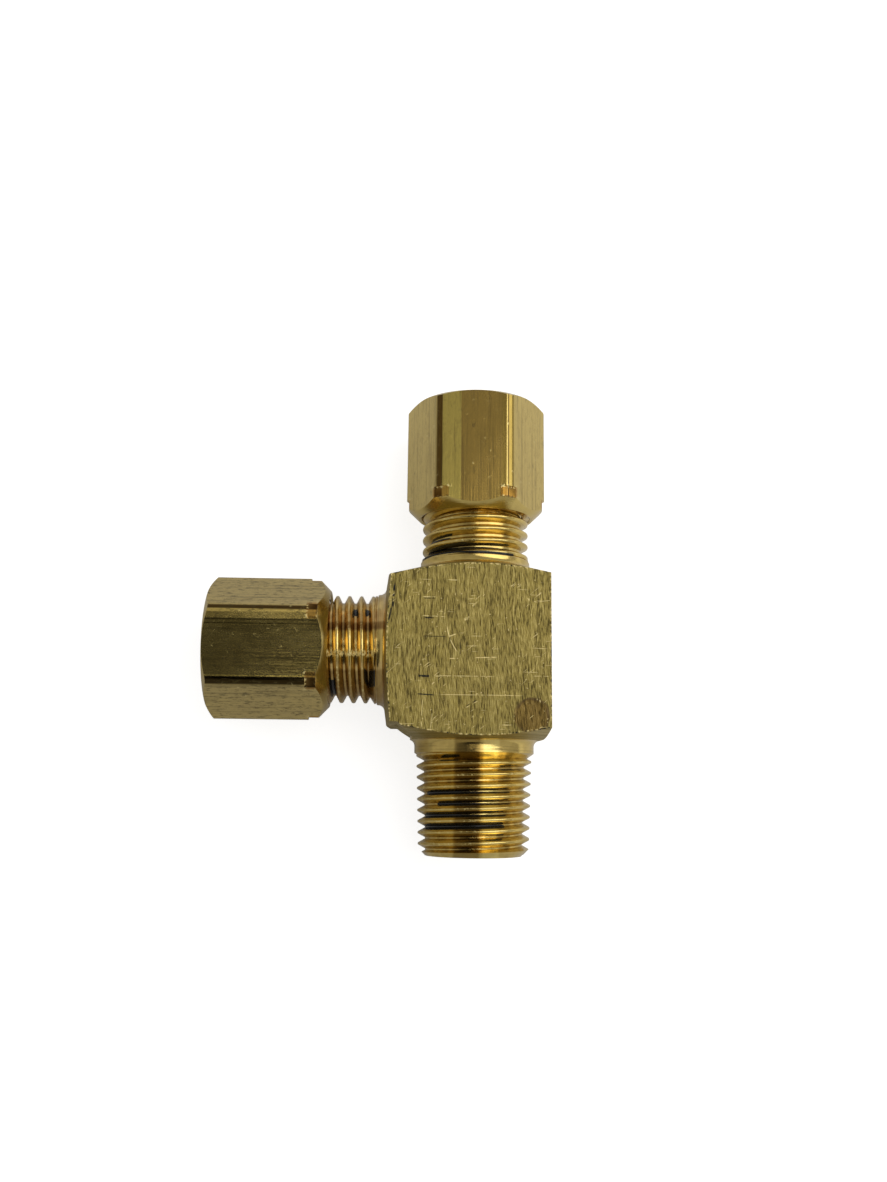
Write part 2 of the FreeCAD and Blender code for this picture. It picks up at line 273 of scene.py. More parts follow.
def threaded_rod(name: str, form: ThreadForm, ridge: float, low: float, high: float,
                 taper: float = 0.0, steps: int = 96) -> bpy.types.Object:
    """Wind a thread's section along local Z with a Screw modifier and cut both its ends flat.

    Args:
        name: The piece's name.
        form: The thread's section.
        ridge: A height at which the crest passes local +X.
        low: The rod's lower end.
        high: The rod's upper end.
        taper: How much the radius falls for each millimetre of height above the ridge.
        steps: Steps in each turn.

    Returns:
        A closed rod with a right-handed thread.
    """
    turns = math.ceil((high - low) / form.pitch) + 3
    start = ridge - form.pitch / 2
    start -= (math.floor((start - low) / form.pitch) + 1) * form.pitch
    bpy.ops.object.select_all(action="DESELECT")
    points = form.section()
    bpy.ops.mesh.primitive_plane_add(size=MM)
    rod = named(name)
    bpy.ops.object.mode_set(mode="EDIT")
    bpy.ops.mesh.select_all(action="SELECT")
    bpy.ops.mesh.merge(type="CENTER")
    first_radius, first_height = points[0]
    bpy.ops.transform.translate(value=(first_radius * MM, 0, (start + first_height - form.pitch) * MM))
    radius, height = first_radius, first_height
    for next_radius, next_height in points[1:]:
        step = ((next_radius - radius) * MM, 0, (next_height - height) * MM)
        bpy.ops.mesh.extrude_region_move(TRANSFORM_OT_translate={"value": step})
        radius, height = next_radius, next_height
    bpy.ops.object.mode_set(mode="OBJECT")
    apply_modifier(rod, "SCREW", axis="Z", angle=math.tau, screw_offset=form.pitch * MM, iterations=turns,
                   steps=steps, render_steps=steps, use_merge_vertices=False)
    if taper:
        for vertex in rod.data.vertices:
            share = 1 - taper * (vertex.co.z / MM - ridge) / form.crest
            vertex.co.x *= share
            vertex.co.y *= share
    outward(rod, merge=2e-6)
    trim(rod, low, clear_below=True)
    trim(rod, high, clear_below=False)
    outward(rod)
    return rod


def trim(piece: bpy.types.Object, height: float, clear_below: bool) -> None:
    """Cut a piece off square to local Z and close the cut.

    Args:
        piece: The object to cut.
        height: Where to cut, in millimetres.
        clear_below: True to remove what is below the cut, False to remove what is above it.
    """
    only(piece)
    bpy.ops.object.mode_set(mode="EDIT")
    bpy.ops.mesh.select_all(action="SELECT")
    bpy.ops.mesh.bisect(plane_co=(0, 0, height * MM), plane_no=(0, 0, 1), use_fill=True, threshold=1e-8,
                        clear_inner=clear_below, clear_outer=not clear_below)
    bpy.ops.object.mode_set(mode="OBJECT")


def prism(name: str, outline: Sequence[tuple[float, float]], low: float, high: float) -> bpy.types.Object:
    """Draw an outline as a chain of extruded points, fill it, and extrude it upwards.

    Args:
        name: The piece's name.
        outline: The corners as x and y in millimetres, anticlockwise.
        low: The height of the bottom.
        high: The height of the top.

    Returns:
        The closed prism.
    """
    bpy.ops.object.select_all(action="DESELECT")
    bpy.ops.mesh.primitive_plane_add(size=MM)
    piece = named(name)
    bpy.ops.object.mode_set(mode="EDIT")
    bpy.ops.mesh.select_mode(type="VERT")
    bpy.ops.mesh.select_all(action="SELECT")
    bpy.ops.mesh.merge(type="CENTER")
    (x, y), *others = outline
    bpy.ops.transform.translate(value=(x * MM, y * MM, low * MM))
    for next_x, next_y in others:
        step = ((next_x - x) * MM, (next_y - y) * MM, 0)
        bpy.ops.mesh.extrude_region_move(TRANSFORM_OT_translate={"value": step})
        x, y = next_x, next_y
    bpy.ops.mesh.select_all(action="SELECT")
    bpy.ops.mesh.edge_face_add()
    bpy.ops.mesh.extrude_region_move(TRANSFORM_OT_translate={"value": (0, 0, (high - low) * MM)})
    bpy.ops.object.mode_set(mode="OBJECT")
    outward(piece)
    return piece


def fillet(radius: float, height: float, size: float, slope: float,
           steps: int = 6) -> list[tuple[float, float]]:
    """Round the inside corner where a neck rises from a shallow cone.

    Args:
        radius: The neck's radius.
        height: The height at which the cone would reach the neck.
        size: The fillet's radius.
        slope: The cone's fall outward from the neck, in degrees.
        steps: How many flats the round has.

    Returns:
        Profile corners from the cone to the neck, the first of them sunk below the cone.
    """
    tilt = math.radians(slope)
    middle = (radius + size, height - size * math.tan(tilt) + size / math.cos(tilt))
    corners = []
    for step in range(steps + 1):
        angle = math.radians(270 - slope) - (math.radians(90 - slope)) * step / steps
        corners.append((middle[0] + size * math.cos(angle), middle[1] + size * math.sin(angle)))
    return [(corners[0][0], corners[0][1] - FOOT_SINK), *corners]


@dataclass
class Bore:
    """The passage inside an arm, in millimetres.

    Attributes:
        flow: The flow bore's radius.
        tube: The tube socket's radius.
        socket: The socket's depth from the arm's end.
        seat: The seat's radius at the mouth.
        seat_slope: The seat's slope from the axis, in degrees.
    """

    flow: float = 1.60
    tube: float = 2.42
    socket: float = 7.00
    seat: float = 3.30
    seat_slope: float = 12.0

    def socketed(self, end: float, low: float) -> list[tuple[float, float]]:
        """Return the passage's corners from an arm's mouth down, through the seat and the socket."""
        seat_end = end - (self.seat - self.tube) / math.tan(math.radians(self.seat_slope))
        stop = end - self.socket
        socket = [(self.seat, end), (self.tube, seat_end), (self.tube, stop)]
        return socket + [(self.flow, stop), (self.flow, low)]

    def plain(self, end: float, low: float) -> list[tuple[float, float]]:
        """Return the corners of a flow bore that opens straight into an arm's end."""
        return [(self.flow + 0.15, end), (self.flow, end - 0.15), (self.flow, low)]


@dataclass
class ThreadedArm:
    """One arm of the tee: a neck with a filleted foot and a threaded rod, both bored.

    Attributes:
        arm: Which arm this is.
        form: The thread's section.
        neck: The neck's radius.
        shoulder: Where the block's cone would meet the neck.
        slope: The cone's slope in degrees.
        line: The height of the step in the neck, or None where it has none.
        neck_end: Where the neck ends and slopes down to the thread's root.
        ridge: A height at which the thread's crest passes local +X.
        end: The arm's end.
        chamfer: The end chamfer's width.
        taper: The fall of the crest's radius for each millimetre outward.
        bore: The passage inside it.
        foot: The radius of the fillet at the neck's foot.
        step: How much thinner the neck is beyond its step.
        under: How far the neck's slope ends below the thread's root.
        run_out: That slope's length for each millimetre that it falls.
    """

    arm: Arm
    form: ThreadForm
    neck: float
    shoulder: float
    slope: float
    line: float | None
    neck_end: float
    ridge: float
    end: float
    chamfer: float
    taper: float = 0.0
    bore: Bore = field(default_factory=Bore)
    foot: float = 0.55
    step: float = 0.10
    under: float = 0.05
    run_out: float = 0.75

    def build(self) -> list[bpy.types.Object]:
        """Make the neck and the thread and lay them along the arm.

        Returns:
            The neck and the thread.
        """
        return [self.build_neck(), self.build_thread()]

    def build_neck(self) -> bpy.types.Object:
        """Turn the neck as a ring round the flow bore."""
        root = self.form.crest - self.form.depth
        profile = fillet(self.neck, self.shoulder, self.foot, self.slope)
        low = profile[0][1]
        top = self.neck
        if self.line is not None:
            groove = 0.07
            profile += [(top, self.line - BROKEN_EDGE), (top - self.step / 2, self.line)]
            top -= self.step
            profile += [(top - groove, self.line + 0.01), (top - groove, self.line + groove)]
            profile += [(top, self.line + groove + BROKEN_EDGE)]
        profile += [(top, self.neck_end), (root - self.under, self.neck_end + self.run_out * (top - root))]
        profile += [(self.bore.flow, profile[-1][1]), (self.bore.flow, low)]
        neck = turned(f"{self.arm.value}_neck", profile, sides=160, ring=True)
        smooth(neck)
        apply_turn(neck, self.arm.turn())
        return neck

    def build_thread(self) -> bpy.types.Object:
        """Wind the thread, chamfer its end and bore it."""
        low = self.shoulder + 0.3
        rod = threaded_rod(f"{self.arm.value}_thread", self.form, self.ridge, low, self.end, self.taper)
        crest = self.form.crest - self.taper * (self.end - self.ridge)
        reach = self.neck + 1.0
        passage = self.bore.plain if self.arm is Arm.PIPE else self.bore.socketed
        profile = [(reach, low - 0.5), (reach, self.end - self.chamfer - (reach - crest)),
                   (crest - self.chamfer, self.end), *passage(self.end, low - 0.5)]
        carve(rod, turned("thread_envelope", profile, sides=160, ring=True), "INTERSECT")
        smooth(rod, 40)
        apply_turn(rod, self.arm.turn())
        return rod


@dataclass
class Block:
    """The block between the two sawn faces, in millimetres.

    Attributes:
        half_thickness: Half the distance between the sawn faces.
        back: The plain back's distance from the run's axis.
        run: The run shoulder's height where it meets the sawn face's middle, and its slope in degrees.
        branch: The same for the branch's shoulder.
        pipe: The same for the pipe end's shoulder.
        corner: The cut corner's low edge, its side and its end.
        reach: A radius outside the block.
        burr: The width of the rounding on its edges.
    """

    half_thickness: float
    back: float = 6.08
    run: tuple[float, float] = (6.83, 17.0)
    branch: tuple[float, float] = (7.80, 8.0)
    pipe: tuple[float, float] = (7.70, 16.0)
    corner: tuple[float, float, float] = (6.65, 6.80, 5.45)
    reach: float = 14.0
    burr: float = 0.045

    def height(self, shoulder: tuple[float, float], radius: float) -> float:
        """Return a shoulder's height at a radius from its arm's axis."""
        level, slope = shoulder
        return level + (self.half_thickness - radius) * math.tan(math.radians(slope))

    def build(self, necks: dict[Arm, float], flow: float) -> bpy.types.Object:
        """Make the block between the sawn faces, with its shoulders turned and its passages bored.

        Args:
            necks: The radius of each arm's neck.
            flow: The flow bores' radius.

        Returns:
            The block.
        """
        low, side, end = self.corner
        far = 9.0
        outline = [(self.back, far), (-far, far), (-far, -low), (-side, -low), (-end, -self.pipe[0]),
                   (-end, -far), (self.back, -far)]
        block = prism("tee_block", outline, -self.half_thickness, self.half_thickness)
        inner_pipe, inner_run = necks[Arm.PIPE] - LAP, necks[Arm.RUN] - LAP
        spindle = turned("run_spindle", [
            (inner_pipe, -self.height(self.pipe, inner_pipe)),
            (self.reach, -self.height(self.pipe, self.reach)),
            (self.reach, self.height(self.run, self.reach)),
            (inner_run, self.height(self.run, inner_run)),
        ])
        apply_turn(spindle, Arm.RUN.turn())
        carve(block, spindle, "INTERSECT")
        inner_branch = necks[Arm.BRANCH] - LAP
        side_cone = turned("branch_spindle", [
            (self.reach, -far),
            (self.reach, self.height(self.branch, self.reach)),
            (inner_branch, self.height(self.branch, inner_branch)),
        ])
        apply_turn(side_cone, Arm.BRANCH.turn())
        carve(block, side_cone, "INTERSECT")
        for arm, start in ((Arm.RUN, -far), (Arm.BRANCH, 0.0)):
            drill = turned(f"{arm.value}_drill", [(flow, start), (flow, far)], sides=64)
            apply_turn(drill, arm.turn())
            carve(block, drill, "DIFFERENCE")
        apply_modifier(block, "BEVEL", width=self.burr * MM, segments=2, limit_method="ANGLE",
                       angle_limit=math.radians(30))
        smooth(block, 30)
        return block


class Tee:
    """The one-piece tee: its block and its three threaded arms."""

    def __init__(self, half_thickness: float) -> None:
        """Set out the tee.

        Args:
            half_thickness: Half the distance between its sawn faces, in millimetres.
        """
        fine = ThreadForm(crest=4.76, depth=0.65, pitch=1.0583)
        pipe = ThreadForm(crest=5.047, depth=0.66, pitch=0.9407, crest_round=0.10, root_flat=0.05)
        self.block = Block(half_thickness)
        block = self.block
        self.arms = [
            ThreadedArm(Arm.RUN, fine, 4.90, block.height(block.run, 4.90), block.run[1],
                        line=7.95, neck_end=8.16, ridge=8.41, end=15.90, chamfer=0.70),
            ThreadedArm(Arm.BRANCH, fine, 4.90, block.height(block.branch, 4.90), block.branch[1],
                        line=8.62, neck_end=8.82, ridge=9.10, end=16.75, chamfer=0.70),
            ThreadedArm(Arm.PIPE, pipe, 5.24, block.height(block.pipe, 5.24), block.pipe[1],
                        line=None, neck_end=9.02, ridge=9.71, end=17.75, chamfer=0.60, taper=0.03125),
        ]

    def build(self) -> list[bpy.types.Object]:
        """Make every piece of the tee.

        Returns:
            The block, then each arm's neck and thread.
        """
        necks = {arm.arm: arm.neck for arm in self.arms}
        pieces = [self.block.build(necks, self.arms[0].bore.flow)]
        for arm in self.arms:
            pieces += arm.build()
        return pieces


@dataclass
class Nut:
    """A compression nut, in millimetres, with distances measured from its threaded face.

    Attributes:
        arm: The arm that it is on.
        face: The threaded face's distance from the origin.
        turn: Its turn about the arm's axis, in degrees.
        ridge: A distance from the origin at which the arm's crest passes local +X.
        half_flats: Half the distance across its flats.
        length: Its length.
        corner: The radius of its long corners.
        land_radius, land_slope, land: The turned land's radius, the slope's length before it, and its length.
        face_radius: The threaded face's radius.
        end_radius, end_slope: The outer face's radius and the slope that meets it, in degrees.
        mouth, thread, thread_length: The thread's groove radius, its crest radius, which is not used, and its
            length.
        cavity, seat_start, seat: The room round the sleeve, where it ends, and the seat's radius there.
        hole: The tube hole's radius.
        reach: A radius outside the nut.
    """

    arm: Arm
    face: float
    turn: float
    ridge: float
    half_flats: float = 5.556
    length: float = 10.50
    corner: float = 0.90
    land_radius: float = 6.06
    land_slope: float = 0.88
    land: float = 0.90
    face_radius: float = 5.15
    end_radius: float = 5.50
    end_slope: float = 30.0
    mouth: float = 4.98
    thread: float = 4.30
    thread_length: float = 6.40
    cavity: float = 3.80
    seat_start: float = 8.00
    seat: float = 3.30
    hole: float = 2.42
    reach: float = 8.0

    def place(self) -> Matrix:
        """Return the turn and move that put the nut on its arm."""
        spin = Matrix.Rotation(math.radians(self.turn), 4, "Z")
        slide = Matrix.Translation((0, 0, self.face * MM))
        return self.arm.turn() @ slide @ spin

    def build(self) -> list[bpy.types.Object]:
        """Make the nut and the thread inside it.

        Returns:
            The nut and its thread.
        """
        nut = self.build_body()
        return [nut, self.build_thread()]

    def build_body(self) -> bpy.types.Object:
        """Make the hexagon, round its corners, and turn its ends and its bore."""
        bpy.ops.object.select_all(action="DESELECT")
        across = self.half_flats / math.cos(math.radians(30))
        bpy.ops.mesh.primitive_cylinder_add(vertices=6, radius=across * MM, depth=self.length * MM,
                                            location=(0, 0, self.length * MM / 2),
                                            rotation=(0, 0, math.radians(30)))
        nut = named(f"{self.arm.value}_hex_nut")
        bpy.ops.object.transform_apply(location=True, rotation=True)
        self.round_corners(nut)
        rise = (self.reach - self.end_radius) * math.tan(math.radians(self.end_slope))
        land_top = self.land_slope + self.land
        envelope = turned("nut_envelope", [
            (self.mouth, 0), (self.face_radius, 0), (self.land_radius, self.land_slope),
            (self.land_radius, land_top), (self.reach, land_top), (self.reach, self.length - rise),
            (self.end_radius, self.length), (self.hole + 0.3, self.length), (self.hole, self.length - 0.3),
            (self.hole, self.seat_start + self.seat - self.hole), (self.seat, self.seat_start),
            (self.cavity, self.seat_start), (self.cavity, self.thread_length + 0.5),
            (self.mouth - 0.1, self.thread_length), (self.mouth - 0.1, 0.1),
        ], sides=144, ring=True)
        carve(nut, envelope, "INTERSECT")
        apply_modifier(nut, "BEVEL", width=0.05 * MM, segments=2, limit_method="ANGLE",
                       angle_limit=math.radians(24))
        smooth(nut, 30)
        apply_turn(nut, self.place())
        return nut

    def round_corners(self, nut: bpy.types.Object) -> None:
        """Bevel the hexagon's six long edges to a round.

        Args:
            nut: The plain hexagon, upright.
        """
        only(nut)
        bpy.context.tool_settings.mesh_select_mode = (False, True, False)
        points = nut.data.vertices
        for item in (*points, *nut.data.polygons):
            item.select = False
        for edge in nut.data.edges:
            first, second = (points[index].co for index in edge.vertices)
            edge.select = abs(first.z - second.z) > self.length * MM / 2
        bpy.ops.object.mode_set(mode="EDIT")
        width = self.corner * math.tan(math.radians(30))
        bpy.ops.mesh.bevel(offset=width * MM, segments=8, affect="EDGES")
        bpy.ops.object.mode_set(mode="OBJECT")

    def build_thread(self) -> bpy.types.Object:
        """Wind the nut's inner thread as a ring whose grooves lie over the arm's ridges."""
        form = ThreadForm(crest=4.88, depth=0.58, pitch=1.0583, crest_round=0.10, root_flat=0.05)
        spun = self.ridge + self.turn / 360 * form.pitch - self.face
        core = threaded_rod(f"{self.arm.value}_nut_thread", form, spun, -1.0, self.thread_length + 1.0)
        shell = turned("thread_shell", [
            (self.mouth - 0.1, 0.12), (self.mouth - 0.1, self.thread_length),
            (3.0, self.thread_length), (3.0, 0.12),
        ], sides=144, ring=True)
        carve(shell, core, "DIFFERENCE")
        shell.name = shell.data.name = f"{self.arm.value}_nut_thread"
        smooth(shell, 40)
        apply_turn(shell, self.place())
        return shell


@dataclass
class Sleeve:
    """A loose sleeve, in millimetres, in its nut's coordinates.

    Attributes:
        arm: The arm that it is on.
        place: The turn and move of its nut.
        back: Its outer end's height.
        length: Its length.
        radius: Its largest radius.
        nose, back_radius: The radius of its inner and its outer end.
        bore: The radius of its bore.
        slope: The slope of its nose from the axis, in degrees.
    """

    arm: Arm
    place: Matrix
    back: float = 8.30
    length: float = 5.60
    radius: float = 3.18
    nose: float = 2.95
    back_radius: float = 2.86
    bore: float = 2.42
    slope: float = 12.0

    def build(self) -> bpy.types.Object:
        """Turn the sleeve, with both ends tapered and its edges broken."""
        nose = self.back - self.length
        taper = (self.radius - self.nose) / math.tan(math.radians(self.slope))
        profile = [
            (self.bore + BROKEN_EDGE, nose), (self.nose - 0.04, nose), (self.nose, nose + BROKEN_EDGE),
            (self.radius, nose + taper), (self.radius, self.back - (self.radius - self.back_radius)),
            (self.back_radius, self.back), (self.bore + BROKEN_EDGE, self.back),
            (self.bore, self.back - BROKEN_EDGE), (self.bore, nose + BROKEN_EDGE),
        ]
        sleeve = turned(f"{self.arm.value}_ferrule", profile, sides=96, ring=True)
        smooth(sleeve)
        apply_turn(sleeve, self.place)
        return sleeve


# ---------------------------------------------------------------------------------------------- finishes

Colour = tuple[float, float, float]
Socket = bpy.types.NodeSocket


class Graph:
    """Places nodes in one shader tree and links them."""

    def __init__(self, tree: bpy.types.NodeTree) -> None:
        """Take the tree to fill."""
        self.tree = tree

    def feed(self, socket: Socket, value: object) -> None:
        """Link a socket to another one, or set it to a plain value."""
        if isinstance(value, Socket):
            self.tree.links.new(value, socket)
        elif socket.type == "RGBA":
            socket.default_value = (*value, 1.0)
        else:
            socket.default_value = value

    def add(self, kind: str, inputs: dict[str | int, object], **settings: object) -> bpy.types.Node:
        """Place a node.

        Args:
            kind: Blender's name for the type of node.
            inputs: What feeds its inputs, by name or number.
            **settings: The node's own properties.

        Returns:
            The new node.
        """
        node = self.tree.nodes.new(kind)
        for key, value in settings.items():
            setattr(node, key, value)
        for key, value in inputs.items():
            self.feed(node.inputs[key], value)
        return node

    def math(self, operation: str, first: object, second: object = 0.0, clamp: bool = False) -> Socket:
        """Return the result of a Math node."""
        node = self.add("ShaderNodeMath", {0: first, 1: second}, operation=operation, use_clamp=clamp)
        return node.outputs[0]

    def times(self, *values: object, clamp: bool = False) -> Socket:
        """Return the product of several values."""
        result = values[0]
        for value in values[1:]:
            result = self.math("MULTIPLY", result, value, clamp)
        return result

    def plus(self, first: object, second: object, clamp: bool = False) -> Socket:
        """Return the sum of two values."""
        return self.math("ADD", first, second, clamp)

    def less(self, first: object, second: object, clamp: bool = False) -> Socket:
        """Return the first value less the second."""
        return self.math("SUBTRACT", first, second, clamp)

    def gap(self, first: object, second: object) -> Socket:
        """Return how far apart two values are."""
        return self.math("ABSOLUTE", self.less(first, second))

    def most(self, *values: Socket) -> Socket:
        """Return the largest of several values."""
        result = values[0]
        for value in values[1:]:
            result = self.math("MAXIMUM", result, value)
        return result

    def ramp(self, value: object, start: float, end: float, low: float = 0.0, high: float = 1.0) -> Socket:
        """Return low where a value is at start, high where it is at end, and a smooth change between them."""
        if start > end:
            start, end, low, high = end, start, high, low
        return self.swing(value, start, end, low, high)

    def swing(self, value: object, start: object, end: object, low: float = 0.0, high: float = 1.0) -> Socket:
        """Do what ramp does between two values that may be sockets, the first of them the smaller."""
        node = self.add("ShaderNodeMapRange", {
            "Value": value, "From Min": start, "From Max": end, "To Min": low, "To Max": high,
        }, interpolation_type="SMOOTHSTEP")
        return node.outputs["Result"]

    def blend(self, factor: object, first: object, second: object, mode: str = "MIX") -> Socket:
        """Return two colours blended by a factor."""
        node = self.tree.nodes.new("ShaderNodeMix")
        node.data_type = "RGBA"
        node.blend_type = mode
        self.feed(node.inputs[0], factor)
        self.feed(node.inputs[6], first)
        self.feed(node.inputs[7], second)
        return node.outputs[2]

    def noise(self, vector: Socket, scale: object, detail: float = 2.0, rough: float = 0.5) -> Socket:
        """Return a noise value about 0.5."""
        node = self.add("ShaderNodeTexNoise", {"Vector": vector, "Scale": scale, "Detail": detail,
                                               "Roughness": rough})
        return node.outputs[0]

    def stretch(self, vector: Socket, x: float, y: float, z: float) -> Socket:
        """Return a vector with each of its parts scaled."""
        node = self.add("ShaderNodeVectorMath", {0: vector, 1: (x, y, z)}, operation="MULTIPLY")
        return node.outputs[0]

    def parts(self, vector: Socket) -> tuple[Socket, Socket, Socket]:
        """Return a vector's three parts."""
        node = self.add("ShaderNodeSeparateXYZ", {0: vector})
        return node.outputs[0], node.outputs[1], node.outputs[2]

    def length(self, first: Socket, second: Socket) -> Socket:
        """Return the length of a vector of two parts."""
        return self.math("SQRT", self.plus(self.times(first, first), self.times(second, second)))

    def effect(self, which: "Effect", inputs: dict[str | int, object]) -> bpy.types.Node:
        """Place one of the shared effects."""
        node = self.tree.nodes.new("ShaderNodeGroup")
        node.node_tree = which.tree()
        for key, value in inputs.items():
            self.feed(node.inputs[key], value)
        return node


class Effect(Enum):
    """The effects that more than one finish uses, each a node group that is built at its first use."""

    TONE = "brass_tone"
    GRAIN = "lengthwise_grain"
    MARK = "scratch_mark"
    SCRATCHES = "loose_scratches"
    SPECKS = "bright_specks"
    EDGE = "burred_edge"
    OIL = "oily_residue"
    STRIP = "lengthwise_strip"
    BAND = "oil_band"

    def tree(self) -> bpy.types.NodeTree:
        """Return the effect's node group, and build it if it isn't there yet."""
        found = bpy.data.node_groups.get(self.value)
        if found is not None:
            return found
        builders = {Effect.TONE: build_tone, Effect.GRAIN: build_grain, Effect.MARK: build_mark,
                    Effect.SCRATCHES: build_scratches, Effect.SPECKS: build_specks, Effect.EDGE: build_edge,
                    Effect.OIL: build_oil, Effect.STRIP: build_strip, Effect.BAND: build_band}
        tree = bpy.data.node_groups.new(self.value, "ShaderNodeTree")
        builders[self](tree)
        return tree


def open_group(tree: bpy.types.NodeTree, inputs: dict[str, str], outputs: dict[str, str]
               ) -> tuple[Graph, dict[str, Socket], bpy.types.Node]:
    """Give a node group its sockets.

    Args:
        tree: The empty group.
        inputs: Each input's name and kind: Float, Vector or Color.
        outputs: The same for its outputs.

    Returns:
        A graph on the group, its inputs by name, and the node that takes its outputs.
    """
    for side, sockets in (("INPUT", inputs), ("OUTPUT", outputs)):
        for name, kind in sockets.items():
            tree.interface.new_socket(name, in_out=side, socket_type=f"NodeSocket{kind}")
    source = tree.nodes.new("NodeGroupInput")
    graph = Graph(tree)
    return graph, {name: source.outputs[name] for name in inputs}, tree.nodes.new("NodeGroupOutput")


def build_tone(tree: bpy.types.NodeTree) -> None:
    """Fill the group that drifts between a clean and a dulled brass over a surface."""
    graph, given, out = open_group(tree,
                                   {"Vector": "Vector", "Clean": "Color", "Dull": "Color", "Amount": "Float"},
                                   {"Color": "Color", "Dullness": "Float"})
    wide = graph.ramp(graph.noise(given["Vector"], 0.33, 3.0, 0.6), 0.38, 0.66)
    close = graph.ramp(graph.noise(given["Vector"], 1.7, 4.0, 0.65), 0.36, 0.70)
    drift = graph.times(wide, 0.55)
    drift = graph.plus(drift, graph.times(close, 0.45))
    dull = graph.times(drift, given["Amount"], clamp=True)
    graph.feed(out.inputs["Color"], graph.blend(dull, given["Clean"], given["Dull"]))
    graph.feed(out.inputs["Dullness"], dull)


def build_grain(tree: bpy.types.NodeTree) -> None:
    """Fill the group that draws fine and broad lines along a vector that is already stretched."""
    graph, given, out = open_group(tree, {"Vector": "Vector", "Scale": "Float"}, {"Lines": "Float"})
    fine = graph.ramp(graph.noise(given["Vector"], given["Scale"], 4.0, 0.62), 0.30, 0.70)
    coarse = graph.times(given["Scale"], 0.31)
    broad = graph.ramp(graph.noise(given["Vector"], coarse, 3.0, 0.55), 0.32, 0.68)
    lines = graph.plus(graph.times(fine, 0.68), graph.times(broad, 0.32))
    graph.feed(out.inputs["Lines"], lines)


def build_mark(tree: bpy.types.NodeTree) -> None:
    """Fill the group that draws one scratch: a soft bar at a place, at an angle, with a bend."""
    graph, given, out = open_group(tree, {"Vector": "Vector", "Place": "Vector", "Angle": "Float",
                                          "Half Length": "Float", "Half Width": "Float", "Bend": "Float"},
                                   {"Mask": "Float"})
    offset = graph.add("ShaderNodeVectorMath", {0: given["Vector"], 1: given["Place"]}, operation="SUBTRACT")
    back = graph.times(given["Angle"], -1.0)
    turned_back = graph.add("ShaderNodeVectorRotate", {"Vector": offset.outputs[0], "Angle": back},
                            rotation_type="Z_AXIS")
    along, across, _ = graph.parts(turned_back.outputs[0])
    bow = graph.times(graph.times(along, along), given["Bend"])
    across = graph.gap(across, bow)
    reach = graph.math("DIVIDE", graph.math("ABSOLUTE", along), given["Half Length"])
    width = graph.math("DIVIDE", across, given["Half Width"])
    mask = graph.times(graph.ramp(reach, 1.0, 0.7), graph.ramp(width, 1.0, 0.35))
    graph.feed(out.inputs["Mask"], mask)


def build_scratches(tree: bpy.types.NodeTree) -> None:
    """Fill the group that scatters thin straight scratches, all at about one angle."""
    graph, given, out = open_group(tree, {"Vector": "Vector", "Angle": "Float", "Scale": "Float",
                                          "Rarity": "Float"}, {"Mask": "Float"})
    turned_back = graph.add("ShaderNodeVectorRotate", {"Vector": given["Vector"], "Angle": given["Angle"]},
                            rotation_type="Z_AXIS")
    thin = graph.stretch(turned_back.outputs[0], 0.55, 7.0, 0.55)
    lines = graph.ramp(graph.noise(thin, given["Scale"], 0.0), 0.735, 0.775)
    patches = graph.less(graph.noise(given["Vector"], 0.9, 1.0), given["Rarity"])
    patches = graph.ramp(patches, 0.48, 0.60)
    graph.feed(out.inputs["Mask"], graph.times(lines, patches))


def build_specks(tree: bpy.types.NodeTree) -> None:
    """Fill the group that scatters small specks, in a share of the cells of a pattern."""
    graph, given, out = open_group(tree, {"Vector": "Vector", "Scale": "Float", "Share": "Float"},
                                   {"Mask": "Float"})
    jitter = graph.add("ShaderNodeTexNoise", {"Vector": given["Vector"], "Scale": 5.0, "Detail": 2.0})
    bent = graph.add("ShaderNodeVectorMath", {0: jitter.outputs["Color"], 1: (0.35, 0.35, 0.35),
                                              2: given["Vector"]}, operation="MULTIPLY_ADD")
    cells = graph.add("ShaderNodeTexVoronoi", {"Vector": bent.outputs[0], "Scale": given["Scale"]})
    red, _, _ = graph.parts(cells.outputs["Color"])
    kept = graph.math("LESS_THAN", red, given["Share"])
    spot = graph.ramp(cells.outputs["Distance"], 0.24, 0.12)
    graph.feed(out.inputs["Mask"], graph.times(kept, spot))


def build_edge(tree: bpy.types.NodeTree) -> None:
    """Fill the group that breaks the edge where two surfaces meet into bright burrs and dark nicks."""
    graph, given, out = open_group(tree, {"Vector": "Vector", "First": "Float", "Second": "Float",
                                          "Width": "Float"}, {"Bright": "Float", "Dark": "Float"})
    near = []
    for name in ("First", "Second"):
        share = graph.math("DIVIDE", graph.math("ABSOLUTE", given[name]), given["Width"])
        near.append(graph.ramp(share, 1.0, 0.25))
    edge = graph.times(near[0], near[1])
    rough = graph.noise(given["Vector"], 3.6, 3.0, 0.6)
    graph.feed(out.inputs["Bright"], graph.times(edge, graph.ramp(rough, 0.52, 0.60)))
    graph.feed(out.inputs["Dark"], graph.times(edge, graph.ramp(rough, 0.46, 0.38)))


def build_oil(tree: bpy.types.NodeTree) -> None:
    """Fill the group that gathers oily dirt where a place value is high, with a ragged edge."""
    graph, given, out = open_group(tree, {"Vector": "Vector", "Place": "Float", "Ragged": "Float"},
                                   {"Mask": "Float"})
    rough = graph.less(graph.noise(given["Vector"], 1.9, 4.0, 0.65), 0.5)
    level = graph.plus(given["Place"], graph.times(rough, given["Ragged"]))
    graph.feed(out.inputs["Mask"], graph.ramp(level, 0.46, 0.62))


